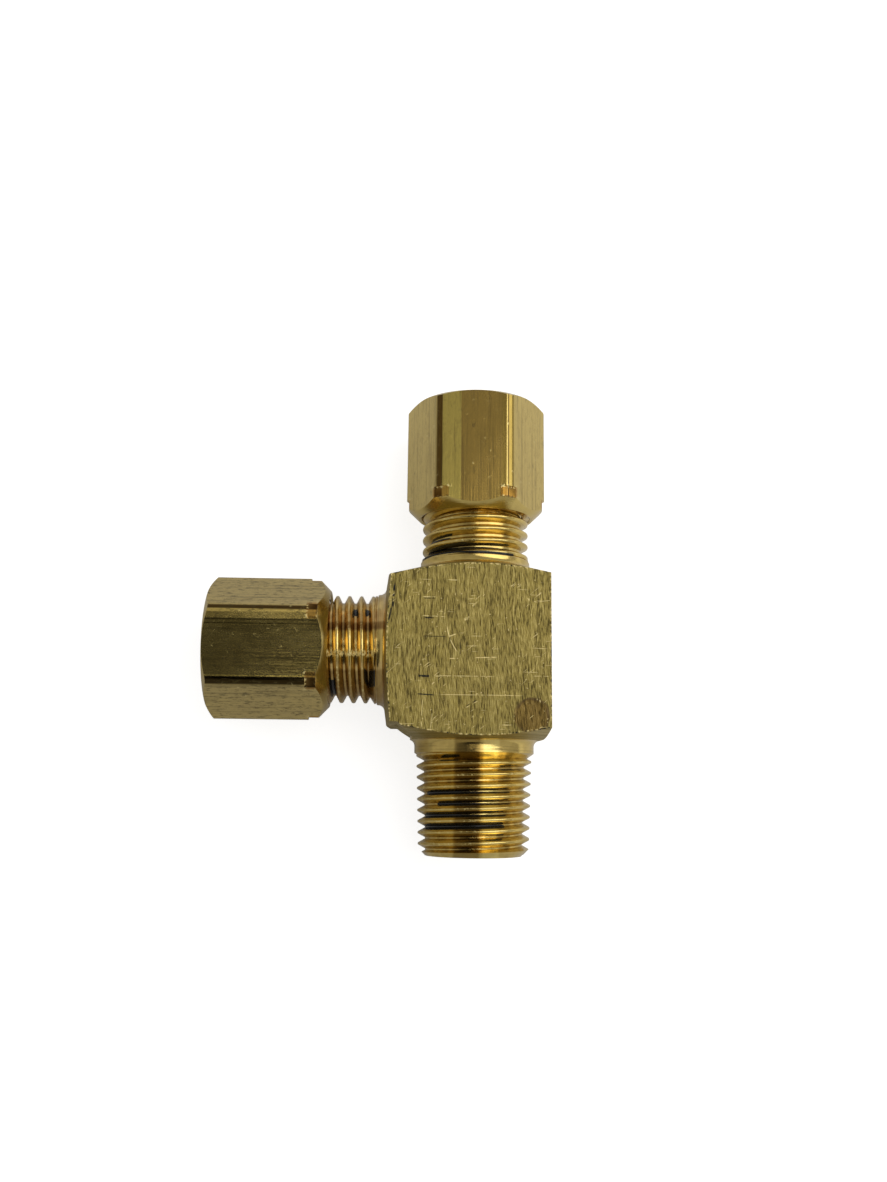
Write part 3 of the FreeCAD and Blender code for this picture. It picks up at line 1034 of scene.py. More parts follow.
def build_strip(tree: bpy.types.NodeTree) -> None:
    """Fill the group that marks a strip between two places across a piece, with a soft border."""
    graph, given, out = open_group(tree, {"Across": "Float", "Start": "Float", "End": "Float",
                                          "Soft": "Float"}, {"Mask": "Float"})
    start, end, soft = given["Start"], given["End"], given["Soft"]
    rise = graph.swing(given["Across"], graph.less(start, soft), graph.plus(start, soft))
    fall = graph.swing(given["Across"], graph.less(end, soft), graph.plus(end, soft))
    graph.feed(out.inputs["Mask"], graph.times(rise, graph.less(1.0, fall)))


def build_band(tree: bpy.types.NodeTree) -> None:
    """Fill the group that marks a band of given height along an arm, between two places across it."""
    graph, given, out = open_group(tree, {"Vector": "Vector", "Height": "Float", "Half": "Float",
                                          "Start": "Float", "End": "Float"}, {"Mask": "Float"})
    across, _, along = graph.parts(given["Vector"])
    off = graph.gap(along, given["Height"])
    level = graph.less(1.0, graph.swing(off, graph.times(given["Half"], 0.55), given["Half"]))
    strip = graph.effect(Effect.STRIP, {"Across": across, "Start": given["Start"], "End": given["End"],
                                        "Soft": 0.3})
    graph.feed(out.inputs["Mask"], graph.times(level, strip.outputs[0]))


@dataclass(frozen=True)
class Brass:
    """The colours and the gloss that one kind of worked brass surface has.

    Attributes:
        clean: The colour where it is clean.
        dull: The colour where it has dulled.
        deep: The colour in the bottom of its lines and grooves.
        rough: The roughness of the clean metal.
        rough_more: How much rougher the dulled metal is.
    """

    clean: Colour
    dull: Colour
    deep: Colour
    rough: float
    rough_more: float

    def gloss(self, graph: Graph, dullness: Socket) -> Socket:
        """Return the roughness for how dull the metal is."""
        return graph.ramp(dullness, 0, 1, self.rough, self.rough + self.rough_more)


# bright gold for real burrs and scratches, also used for painted glints and highlights: mixed in with less
# metal, it stays bright under any light
BURR_AND_GLINT: Colour = (0.98, 0.80, 0.34)
GLEAM: Colour = (0.82, 0.66, 0.25)
SOOT: Colour = (0.012, 0.010, 0.006)
LEDGE: Colour = (0.80, 0.62, 0.46)


class Finish:
    """A material that is being built for one piece, with the parts that every finish shares."""

    def __init__(self, name: str, place: Matrix) -> None:
        """Start a material.

        Args:
            name: Its name.
            place: The turn and move from the piece's own coordinates to the frame's.
        """
        self.material = bpy.data.materials.new(name)
        self.material.use_nodes = True
        self.graph = Graph(self.material.node_tree)
        self.shader = self.material.node_tree.nodes["Principled BSDF"]
        source = self.graph.add("ShaderNodeTexCoord", {})
        local = self.graph.add("ShaderNodeMapping", {
            "Vector": source.outputs["Object"], "Location": place.to_translation(),
            "Rotation": place.to_euler(), "Scale": (MM, MM, MM)}, vector_type="TEXTURE")
        facing = self.graph.add("ShaderNodeMapping", {
            "Vector": source.outputs["Normal"], "Rotation": place.to_euler()}, vector_type="TEXTURE")
        self.here = local.outputs[0]
        self.x, self.y, self.z = self.graph.parts(self.here)
        self.normal = self.graph.parts(facing.outputs[0])

    def close(self, colour: Socket, rough: Socket, metal: Socket, height: Socket, depth: float,
              strength: float = 1.0) -> bpy.types.Material:
        """Feed the shader and return the material.

        Args:
            colour: The base colour.
            rough: The roughness.
            metal: How metallic it is.
            height: The relief, from 0 to 1.
            depth: The relief's depth in millimetres.
            strength: How strongly it shows.
        """
        bump = self.graph.add("ShaderNodeBump", {"Strength": strength, "Distance": depth * MM,
                                                 "Height": height})
        for name, value in (("Base Color", colour), ("Roughness", rough), ("Metallic", metal),
                            ("Normal", bump.outputs[0])):
            self.graph.feed(self.shader.inputs[name], value)
        return self.material


@dataclass(frozen=True)
class Scratch:
    """One scratch on the upper sawn face, in millimetres and degrees, bright or dark."""

    x: float
    y: float
    length: float
    width: float
    angle: float = 0.0
    bend: float = 0.0
    dark: bool = False


@dataclass(frozen=True)
class SawnFinish:
    """The block's finish: sawn faces with a ragged grain, turned shoulders and a plain back.

    Attributes:
        brass: Its colours.
        block: The block that it covers.
        scratches: The scratches on the upper face.
        stain: The brown stain's place and radius on the upper face.
    """

    brass: Brass
    block: Block
    scratches: tuple[Scratch, ...]
    stain: tuple[float, float, float] = (4.44, -6.02, 1.52)

    def build(self) -> bpy.types.Material:
        """Return the block's material."""
        base = Finish("sawn_brass", Matrix.Identity(4))
        graph = base.graph
        sawn = graph.ramp(graph.math("ABSOLUTE", base.normal[2]), 0.80, 0.95)
        upper = graph.times(sawn, graph.math("GREATER_THAN", base.z, 0.0))
        lines = self.lines(base, sawn)
        tone = graph.effect(Effect.TONE, {"Vector": base.here, "Clean": self.brass.clean,
                                          "Dull": self.brass.dull, "Amount": 0.85})
        deep = graph.times(graph.ramp(lines, 0.46, 0.18), graph.ramp(sawn, 0, 1, 0.22, 0.78))
        colour = graph.blend(deep, tone.outputs["Color"], self.brass.deep)
        colour = graph.blend(graph.times(graph.ramp(lines, 0.60, 0.84), 0.30), colour, GLEAM)
        bright, dark = self.marks(base, upper)
        edge_bright, edge_dark = self.edges(base)
        # painted glints: small bright gold specks over the sawn faces
        specks = graph.effect(Effect.SPECKS, {"Vector": base.here, "Scale": 2.9, "Share": 0.11}).outputs[0]
        fine = graph.effect(Effect.SPECKS, {"Vector": graph.stretch(base.here, 1.0, 0.5, 1.0), "Scale": 4.2,
                                            "Share": 0.08}).outputs[0]
        glint = graph.times(graph.times(graph.most(specks, fine), sawn), 0.75)
        loose = graph.effect(Effect.SCRATCHES, {"Vector": base.here, "Angle": math.radians(-40),
                                                "Scale": 1.5, "Rarity": 0.06}).outputs[0]
        cross = graph.effect(Effect.SCRATCHES, {"Vector": base.here, "Angle": 0.0, "Scale": 1.2,
                                                "Rarity": 0.05}).outputs[0]
        bright = graph.most(bright, edge_bright, glint, graph.times(loose, sawn),
                            graph.times(cross, graph.times(sawn, 0.7)))
        dark = graph.most(dark, edge_dark)
        colour, stained = self.stained(base, colour, upper)
        colour = graph.blend(dark, colour, SOOT)
        # the bright scratches and edge burrs are real marks; they and the specks are painted as glints in
        # bright gold, with less metal below
        colour = graph.blend(graph.times(bright, 0.9), colour, BURR_AND_GLINT)
        rough = graph.ramp(lines, 0.15, 0.85, self.brass.rough + self.brass.rough_more, self.brass.rough)
        rough = graph.plus(rough, graph.times(stained, 0.08), clamp=True)
        metal = graph.less(1.0, graph.times(bright, 0.55))
        metal = graph.less(metal, graph.times(dark, 0.5), clamp=True)
        return base.close(colour, rough, metal, lines, 0.035)

    def lines(self, base: Finish, sawn: Socket) -> Socket:
        """Return the grain: upright and wavering on the sawn faces, rings on the shoulders."""
        graph = base.graph
        waver = graph.noise(graph.stretch(base.here, 1.0, 0.6, 1.0), 0.16, 1.0)
        lean = graph.times(graph.less(waver, 0.5), 1.3)
        across = graph.plus(base.x, graph.plus(lean, graph.times(base.y, 0.05)))
        upright = graph.add("ShaderNodeCombineXYZ", {0: across, 1: graph.times(base.y, 0.10),
                                                     2: base.z})
        face = graph.effect(Effect.GRAIN, {"Vector": upright.outputs[0], "Scale": 15.0}).outputs[0]
        side = graph.math("GREATER_THAN", graph.math("ABSOLUTE", base.normal[0]), 0.7)
        back = graph.math("GREATER_THAN", base.normal[0], 0.7)
        along = graph.length(graph.times(base.y, graph.less(1.0, back)), base.z)
        around = graph.length(base.x, base.z)
        radius = graph.plus(graph.times(along, side),
                            graph.times(around, graph.less(1.0, side)))
        ring = graph.add("ShaderNodeCombineXYZ", {0: radius, 1: graph.times(base.y, 0.04), 2: 0.0})
        turned_lines = graph.effect(Effect.GRAIN, {"Vector": ring.outputs[0], "Scale": 9.0}).outputs[0]
        rest = graph.less(1.0, sawn)
        return graph.plus(graph.times(face, sawn), graph.times(turned_lines, rest))

    def marks(self, base: Finish, upper: Socket) -> tuple[Socket, Socket]:
        """Return the masks of the bright and the dark scratches on the upper face."""
        graph = base.graph
        waver = graph.noise(base.here, 2.4, 3.0)
        broken = {False: graph.ramp(waver, 0.36, 0.50), True: graph.ramp(waver, 0.30, 0.46)}
        found: dict[bool, list[Socket]] = {False: [], True: []}
        for scratch in self.scratches:
            mark = graph.effect(Effect.MARK, {
                "Vector": base.here, "Place": (scratch.x, scratch.y, 0.0),
                "Angle": math.radians(scratch.angle), "Half Length": scratch.length / 2,
                "Half Width": scratch.width / 2, "Bend": scratch.bend})
            found[scratch.dark].append(mark.outputs[0])
        masks = []
        for kind, items in found.items():
            mask = graph.times(graph.most(*items), upper)
            masks.append(graph.times(mask, broken[kind]))
        return masks[0], masks[1]

    def edges(self, base: Finish) -> tuple[Socket, Socket]:
        """Return the masks of bright burrs and dark nicks where the sawn faces end."""
        graph = base.graph
        half = self.block.half_thickness
        face = graph.less(half, graph.math("ABSOLUTE", base.z))
        around = graph.length(base.x, base.z)
        along = graph.length(base.y, base.z)
        rims = [graph.less(self.block.back, base.x)]
        for (level, slope), radius, height in (
                (self.block.run, around, base.y),
                (self.block.pipe, around, graph.times(base.y, -1.0)),
                (self.block.branch, along, graph.times(base.x, -1.0))):
            fall = math.tan(math.radians(slope))
            rim = graph.less(level + half * fall, graph.times(radius, fall))
            rims.append(graph.less(rim, height))
        bright, dark = [], []
        for rim in rims:
            edge = graph.effect(Effect.EDGE, {"Vector": base.here, "First": face, "Second": rim,
                                              "Width": 0.17})
            bright.append(edge.outputs["Bright"])
            dark.append(edge.outputs["Dark"])
        return graph.most(*bright), graph.most(*dark)

    def stained(self, base: Finish, colour: Socket, upper: Socket) -> tuple[Socket, Socket]:
        """Tint the round stain brown, darker at its rim, and return the colour and the stain's mask."""
        graph = base.graph
        x, y, radius = self.stain
        waver = graph.times(graph.less(graph.noise(base.here, 0.8, 3.0), 0.5), 0.7)
        distance = graph.length(graph.less(base.x, x), graph.less(base.y, y))
        distance = graph.plus(distance, waver)
        inside = graph.times(graph.ramp(distance, radius + 0.1, radius - 0.2), upper)
        rim = graph.ramp(graph.gap(distance, radius - 0.1), 0.20, 0.04)
        rim = graph.times(graph.times(rim, upper), graph.ramp(waver, -0.12, 0.06))
        tinted = graph.blend(graph.times(inside, 0.75), colour, (0.70, 0.56, 0.52), "MULTIPLY")
        return graph.blend(graph.times(rim, 0.55), tinted, (0.09, 0.055, 0.035)), inside


@dataclass(frozen=True)
class OilBand:
    """Oily dirt in a thread's grooves, on the side that faces up.

    Attributes:
        height: The band's middle along the arm, in millimetres.
        half: Half its width along the arm.
        start: Where it starts, across the arm.
        end: Where it ends, across the arm.
        amount: How full the groove is.
    """

    height: float
    half: float
    start: float
    end: float
    amount: float = 1.0


@dataclass(frozen=True)
class PaintedReflection:
    """A painted reflection: a strip along the side that faces up, tinted lighter or darker where the metal
    would mirror a bright or dark part of the room.

    Attributes:
        start: Where it starts across the piece, in millimetres.
        end: Where it ends.
        tint: The colour that it multiplies the brass by.
        amount: How strongly.
    """

    start: float
    end: float
    tint: Colour
    amount: float = 1.0

    def mask(self, base: Finish, soft: float) -> Socket:
        """Return the strip's mask on a piece.

        Args:
            base: The finish of the piece.
            soft: Half the width of the strip's soft borders.
        """
        strip = base.graph.effect(Effect.STRIP, {"Across": base.x, "Start": self.start, "End": self.end,
                                                 "Soft": soft})
        return base.graph.times(strip.outputs[0], self.amount)


@dataclass(frozen=True)
class TurnedFinish:
    """A turned neck's or thread's finish: fine rings, dull grooves, crests flecked with painted glints, oily
    dirt and painted reflection strips.

    Attributes:
        brass: Its colours.
        root: The radius at which the grooves count as deep.
        crest: The radius at which the crests shine.
        taper: The fall of both for each millimetre outward.
        origin: The height at which both hold.
        upward: The sign of local Y on the side that faces up.
        oil: Its bands of oily dirt.
        dirt: How much dirt lies in all its grooves.
        sparkle: Where a painted highlight, a broken line of bright gold, runs along it, in millimetres across
            the arm.
        bands: Painted reflections: darker and brighter strips along the side that faces up.
    """

    brass: Brass
    root: float
    crest: float
    taper: float = 0.0
    origin: float = 0.0
    upward: float = -1.0
    oil: tuple[OilBand, ...] = ()
    dirt: float = 0.35
    sparkle: float | None = None
    bands: tuple[PaintedReflection, ...] = ()

    def build(self, name: str, place: Matrix) -> bpy.types.Material:
        """Return the material for a piece on an arm.

        Args:
            name: The material's name.
            place: The turn and move from the arm's coordinates to the frame's.
        """
        base = Finish(name, place)
        graph = base.graph
        fall = graph.times(graph.less(base.z, self.origin), self.taper)
        radius = graph.plus(graph.length(base.x, base.y), fall)
        deep = graph.ramp(radius, self.crest - 0.12, self.root)
        top = graph.ramp(radius, self.crest - 0.10, self.crest - 0.01)
        slow = graph.noise(base.here, 0.5, 2.0)
        ring = graph.add("ShaderNodeCombineXYZ", {0: base.z, 1: radius, 2: graph.times(slow, 0.5)})
        lines = graph.effect(Effect.GRAIN, {"Vector": ring.outputs[0], "Scale": 6.5}).outputs[0]
        tone = graph.effect(Effect.TONE, {"Vector": base.here, "Clean": self.brass.clean,
                                          "Dull": self.brass.dull, "Amount": 0.9})
        grooves = graph.times(graph.ramp(lines, 0.40, 0.18), 0.28)
        colour = graph.blend(grooves, tone.outputs["Color"], self.brass.deep)
        patchy = graph.ramp(graph.noise(base.here, 1.4, 3.0), 0.38, 0.66)
        # painted reflections: darker and lighter strips on the side that faces up
        for band in self.bands:
            inside = graph.times(band.mask(base, 0.15), self.facing(base, 0.3, 1.4))
            colour = graph.blend(inside, colour, band.tint, "MULTIPLY")
        brown = graph.times(graph.times(deep, patchy), self.dirt)
        colour = graph.blend(brown, colour, self.brass.deep)
        # painted glints: bright gold flecks on the crests, worn clean metal that would catch the light; less
        # metal keeps them bright
        flecks = graph.ramp(graph.noise(base.here, 3.4, 3.0, 0.7), 0.54, 0.66)
        bright = graph.times(graph.times(top, flecks), 0.75)
        colour = graph.blend(bright, colour, BURR_AND_GLINT)
        oily = self.oily(base, deep)
        colour = graph.blend(oily, colour, SOOT)
        rough = self.brass.gloss(graph, tone.outputs["Dullness"])
        rough = graph.plus(rough, graph.times(oily, 0.10), clamp=True)
        metal = graph.less(1.0, graph.times(oily, 0.95))
        metal = graph.less(metal, graph.times(bright, 0.35), clamp=True)
        # painted highlight: a broken line of bright gold along the arm, where a small lamp would reflect
        if self.sparkle is not None:
            glints = self.sparkling(base, self.sparkle)
            colour = graph.blend(glints, colour, BURR_AND_GLINT)
            metal = graph.less(metal, graph.times(glints, 0.9), clamp=True)
        return base.close(colour, rough, metal, lines, 0.004)

    def facing(self, base: Finish, start: float, end: float) -> Socket:
        """Return how far a place is on the side that faces up, from 0 at start to 1 at end."""
        return base.graph.ramp(base.graph.times(base.y, self.upward), start, end)

    def sparkling(self, base: Finish, middle: float) -> Socket:
        """Return the mask of the painted highlight: bright gold flecks in a line along the arm."""
        graph = base.graph
        off = graph.gap(base.x, middle)
        near = graph.times(graph.ramp(off, 0.45, 0.05), self.facing(base, 0.3, 1.4))
        gaps = graph.ramp(graph.noise(base.here, 4.0, 2.0, 0.6), 0.54, 0.42)
        return graph.less(near, gaps, clamp=True)

    def oily(self, base: Finish, deep: Socket) -> Socket:
        """Return the mask of oily dirt."""
        graph = base.graph
        front = self.facing(base, -0.6, 1.8)
        places = [graph.times(deep, 0.30 * self.dirt)]
        for band in self.oil:
            place = graph.effect(Effect.BAND, {"Vector": base.here, "Height": band.height, "Half": band.half,
                                               "Start": band.start, "End": band.end})
            places.append(graph.times(place.outputs[0], front, deep, band.amount))
        found = graph.effect(Effect.OIL, {"Vector": base.here, "Place": graph.most(*places), "Ragged": 0.55})
        return found.outputs[0]


@dataclass(frozen=True)
class DrawnFinish:
    """A nut's finish: flats with fine drawn lines, painted reflections in strips on the upper flat, and a
    turned land with burrs.

    Attributes:
        brass: Its colours.
        nut: The nut that it covers.
        strips: The painted reflection strips on its upper flat.
        mottle: How mottled its upper flat is.
    """

    brass: Brass
    nut: Nut
    strips: tuple[PaintedReflection, ...]
    mottle: float = 0.5

    def build(self, name: str) -> bpy.types.Material:
        """Return the nut's material."""
        base = Finish(name, self.nut.place())
        graph = base.graph
        drawn = graph.ramp(graph.math("ABSOLUTE", base.normal[2]), 0.30, 0.12)
        upper = graph.ramp(graph.times(base.normal[1], -1.0), 0.56, 0.80)
        outside = graph.ramp(graph.length(base.x, base.y), 4.9, 5.1)
        long_lines = graph.stretch(base.here, 1.0, 1.0, 0.035)
        lines = graph.effect(Effect.GRAIN, {"Vector": long_lines, "Scale": 3.6}).outputs[0]
        radius = graph.length(base.x, base.y)
        ring = graph.add("ShaderNodeCombineXYZ", {0: base.z, 1: radius, 2: graph.noise(base.here, 0.3, 1.0)})
        rings = graph.effect(Effect.GRAIN, {"Vector": ring.outputs[0], "Scale": 5.5}).outputs[0]
        tone = graph.effect(Effect.TONE, {"Vector": graph.stretch(base.here, 1.0, 1.0, 0.45),
                                          "Clean": self.brass.clean, "Dull": self.brass.dull, "Amount": 0.8})
        colour = tone.outputs["Color"]
        # painted reflections: strips of the upper flat tinted lighter and darker, as if mirroring bright and
        # dark parts of the room
        for strip in self.strips:
            inside = graph.times(strip.mask(base, 0.03), upper, drawn)
            colour = graph.blend(inside, colour, strip.tint, "MULTIPLY")
        streaks = graph.ramp(lines, 0.42, 0.14)
        colour = graph.blend(graph.times(graph.times(streaks, drawn), 0.42), colour,
                             self.brass.deep)
        blotch = graph.ramp(graph.noise(graph.stretch(base.here, 2.0, 2.0, 0.7), 2.2, 5.0, 0.75), 0.50, 0.64)
        blotch = graph.times(graph.times(blotch, drawn), self.mottle)
        colour = graph.blend(blotch, colour, self.brass.deep)
        bright, dark = self.wear(base, drawn, outside)
        ledge = graph.times(self.land(base, radius), outside)
        colour = graph.blend(ledge, colour, LEDGE, "MULTIPLY")
        colour = graph.blend(dark, colour, SOOT)
        # the bright scratches and burrs are real marks, painted as glints in bright gold with less metal
        # below, as are the specks
        colour = graph.blend(bright, colour, BURR_AND_GLINT)
        rough = self.brass.gloss(graph, tone.outputs["Dullness"])
        rough = graph.plus(rough, graph.times(blotch, 0.12), clamp=True)
        metal = graph.less(1.0, graph.times(bright, 0.45))
        metal = graph.less(metal, graph.times(dark, 0.6), clamp=True)
        relief = graph.times(lines, graph.ramp(drawn, 0, 1, 0.0, 0.7))
        relief = graph.plus(relief, graph.times(rings, graph.ramp(drawn, 1, 0, 0.0, 0.8)))
        relief = graph.plus(relief, bright)
        return base.close(colour, rough, metal, relief, 0.008)

    def land(self, base: Finish, radius: Socket) -> Socket:
        """Return the mask of the narrow turned land across the hexagon's corners."""
        graph = base.graph
        low, high = self.nut.land_slope, self.nut.land_slope + self.nut.land
        off = graph.gap(radius, self.nut.land_radius)
        near = graph.times(graph.ramp(off, 0.09, 0.05), graph.ramp(base.z, low - 0.04, low))
        return graph.times(near, graph.ramp(base.z, high + 0.02, high - 0.02))

    def wear(self, base: Finish, drawn: Socket, outside: Socket) -> tuple[Socket, Socket]:
        """Return the masks of bright scratches and burrs, of bright specks that are painted glints, and of
        dark specks.
        """
        graph = base.graph
        leaning = graph.add("ShaderNodeCombineXYZ", {0: base.x, 1: base.z, 2: base.y})
        masks = []
        for angle in (-28.0, 38.0):
            found = graph.effect(Effect.SCRATCHES, {
                "Vector": leaning.outputs[0], "Angle": math.radians(angle), "Scale": 1.3, "Rarity": 0.11})
            masks.append(graph.times(found.outputs[0], 0.45))
        # painted glints: small bright specks on the nut
        masks.append(graph.times(graph.effect(Effect.SPECKS, {
            "Vector": base.here, "Scale": 2.0, "Share": 0.05}).outputs[0], 0.5))
        scratches = graph.times(graph.most(*masks), drawn)
        top = self.nut.land_slope + self.nut.land
        rim = graph.less(base.z, top)
        shelf = graph.less(graph.length(base.x, base.y), self.nut.land_radius)
        rough_rim = graph.effect(Effect.EDGE, {
            "Vector": graph.stretch(base.here, 1.6, 1.6, 1.0), "First": rim, "Second": shelf, "Width": 0.24})
        lip = graph.less(base.z, self.nut.land_slope)
        low_rim = graph.effect(Effect.EDGE, {
            "Vector": base.here, "First": lip, "Second": shelf, "Width": 0.14})
        bright = graph.most(scratches, graph.times(rough_rim.outputs["Bright"], outside),
                            graph.times(low_rim.outputs["Bright"], 0.8))
        spots = graph.effect(Effect.SPECKS, {"Vector": graph.stretch(base.here, 1.0, 1.0, 0.6), "Scale": 1.1,
                                             "Share": 0.06}).outputs[0]
        flecks = graph.times(low_rim.outputs["Dark"], 0.6)
        dark = graph.most(graph.times(spots, 0.3), flecks)
        return graph.times(bright, 0.85), graph.times(dark, outside)


# ---------------------------------------------------------------------------------------------- the fitting

SAWN = Brass((0.395, 0.305, 0.086), (0.33, 0.255, 0.076), (0.070, 0.052, 0.018), 0.40, 0.16)
GOLDEN = Brass((0.74, 0.555, 0.180), (0.66, 0.475, 0.140), (0.20, 0.125, 0.040), 0.12, 0.10)
COPPERY = Brass((0.74, 0.545, 0.215), (0.66, 0.450, 0.175), (0.16, 0.100, 0.040), 0.14, 0.10)
DRAWN = Brass((0.67, 0.510, 0.165), (0.58, 0.435, 0.145), (0.24, 0.165, 0.055), 0.16, 0.12)
DRAWN_DARK = Brass((0.67, 0.510, 0.185), (0.56, 0.430, 0.170), (0.10, 0.078, 0.030), 0.16, 0.12)
PALE = Brass((0.70, 0.55, 0.24), (0.60, 0.46, 0.20), (0.25, 0.17, 0.07), 0.24, 0.12)

FACE_SCRATCHES = (
    Scratch(-4.25, 3.80, 1.15, 0.10),
    Scratch(-4.25, 3.68, 1.00, 0.09, dark=True),
    Scratch(-3.85, 2.16, 2.10, 0.09, angle=-2.0),
    Scratch(-4.20, 2.02, 0.95, 0.16, dark=True),
    Scratch(-3.80, 0.46, 2.20, 0.08, dark=True),
    Scratch(-4.62, -2.88, 1.05, 0.26, dark=True),
    Scratch(-1.30, -2.84, 5.60, 0.07),
    Scratch(-4.45, -4.41, 1.55, 0.14, angle=-3.0, dark=True),
    Scratch(0.10, -4.40, 7.60, 0.07),
    Scratch(-2.42, 0.20, 2.50, 0.13, angle=-68.0, bend=0.10),
    Scratch(-2.24, 0.58, 0.62, 0.14, angle=22.0),
    Scratch(-2.12, -1.38, 0.80, 0.12, angle=2.0),
    Scratch(0.55, -1.26, 2.00, 0.12, angle=2.0),
    Scratch(-1.34, -0.66, 0.34, 0.13, angle=42.0),
    Scratch(-3.84, -3.47, 0.30, 0.13, angle=45.0),
    Scratch(-0.60, -5.18, 1.25, 0.09, angle=30.0),
    Scratch(-0.62, -5.06, 1.15, 0.08, angle=30.0, dark=True),
    Scratch(-1.62, -0.55, 1.30, 0.09, angle=90.0, dark=True),
    Scratch(5.25, -2.76, 1.60, 0.06),
    Scratch(5.35, 3.58, 1.40, 0.06, angle=8.0),
    Scratch(-4.74, -6.00, 2.60, 0.08, angle=88.0),
    Scratch(-3.95, -6.60, 1.45, 0.07, angle=84.0),
    Scratch(-1.05, 2.00, 0.55, 0.30, angle=25.0),
    Scratch(-7.25, 3.85, 2.30, 0.26, angle=86.0, dark=True),
    Scratch(-7.52, 2.30, 1.30, 0.20, angle=80.0, dark=True),
)

RUN_OIL = (
    OilBand(8.30, 0.46, -5.4, 3.1, 1.35),
    OilBand(9.30, 0.40, -4.6, -2.3, 1.0),
)
BRANCH_OIL = (
    OilBand(12.4, 0.55, -5.2, -3.0, 1.2),
    OilBand(9.0, 0.40, -3.6, -2.2, 0.9),
    OilBand(10.3, 1.3, 2.4, 3.3, 0.75),
)
PIPE_OIL = (
    OilBand(9.95, 0.34, -3.1, -1.5, 1.9),
    OilBand(12.50, 0.30, -4.2, 3.0, 0.78),
    OilBand(13.45, 0.30, -3.3, 2.9, 0.85),
    OilBand(14.45, 0.34, -4.6, 2.5, 1.2),
    OilBand(15.45, 0.52, -4.5, 2.3, 2.0),
    OilBand(10.60, 0.25, 1.9, 4.1, 0.85),
)

# painted reflections: darker and lighter strips along each arm's side that faces up
BRANCH_REFLECTIONS = (
    PaintedReflection(-5.0, -2.2, (0.62, 0.58, 0.52)),
    PaintedReflection(-1.5, 1.2, (1.10, 1.12, 0.92)),
    PaintedReflection(1.2, 1.9, (0.55, 0.45, 0.38)),
    PaintedReflection(1.9, 3.0, (1.10, 1.02, 1.00)),
)
PIPE_REFLECTIONS = (
    PaintedReflection(-4.9, -4.1, (0.80, 0.76, 0.68)),
    PaintedReflection(-1.95, 0.20, (0.52, 0.48, 0.44), 0.9),
    PaintedReflection(0.45, 1.85, (1.29, 1.36, 1.50)),
)


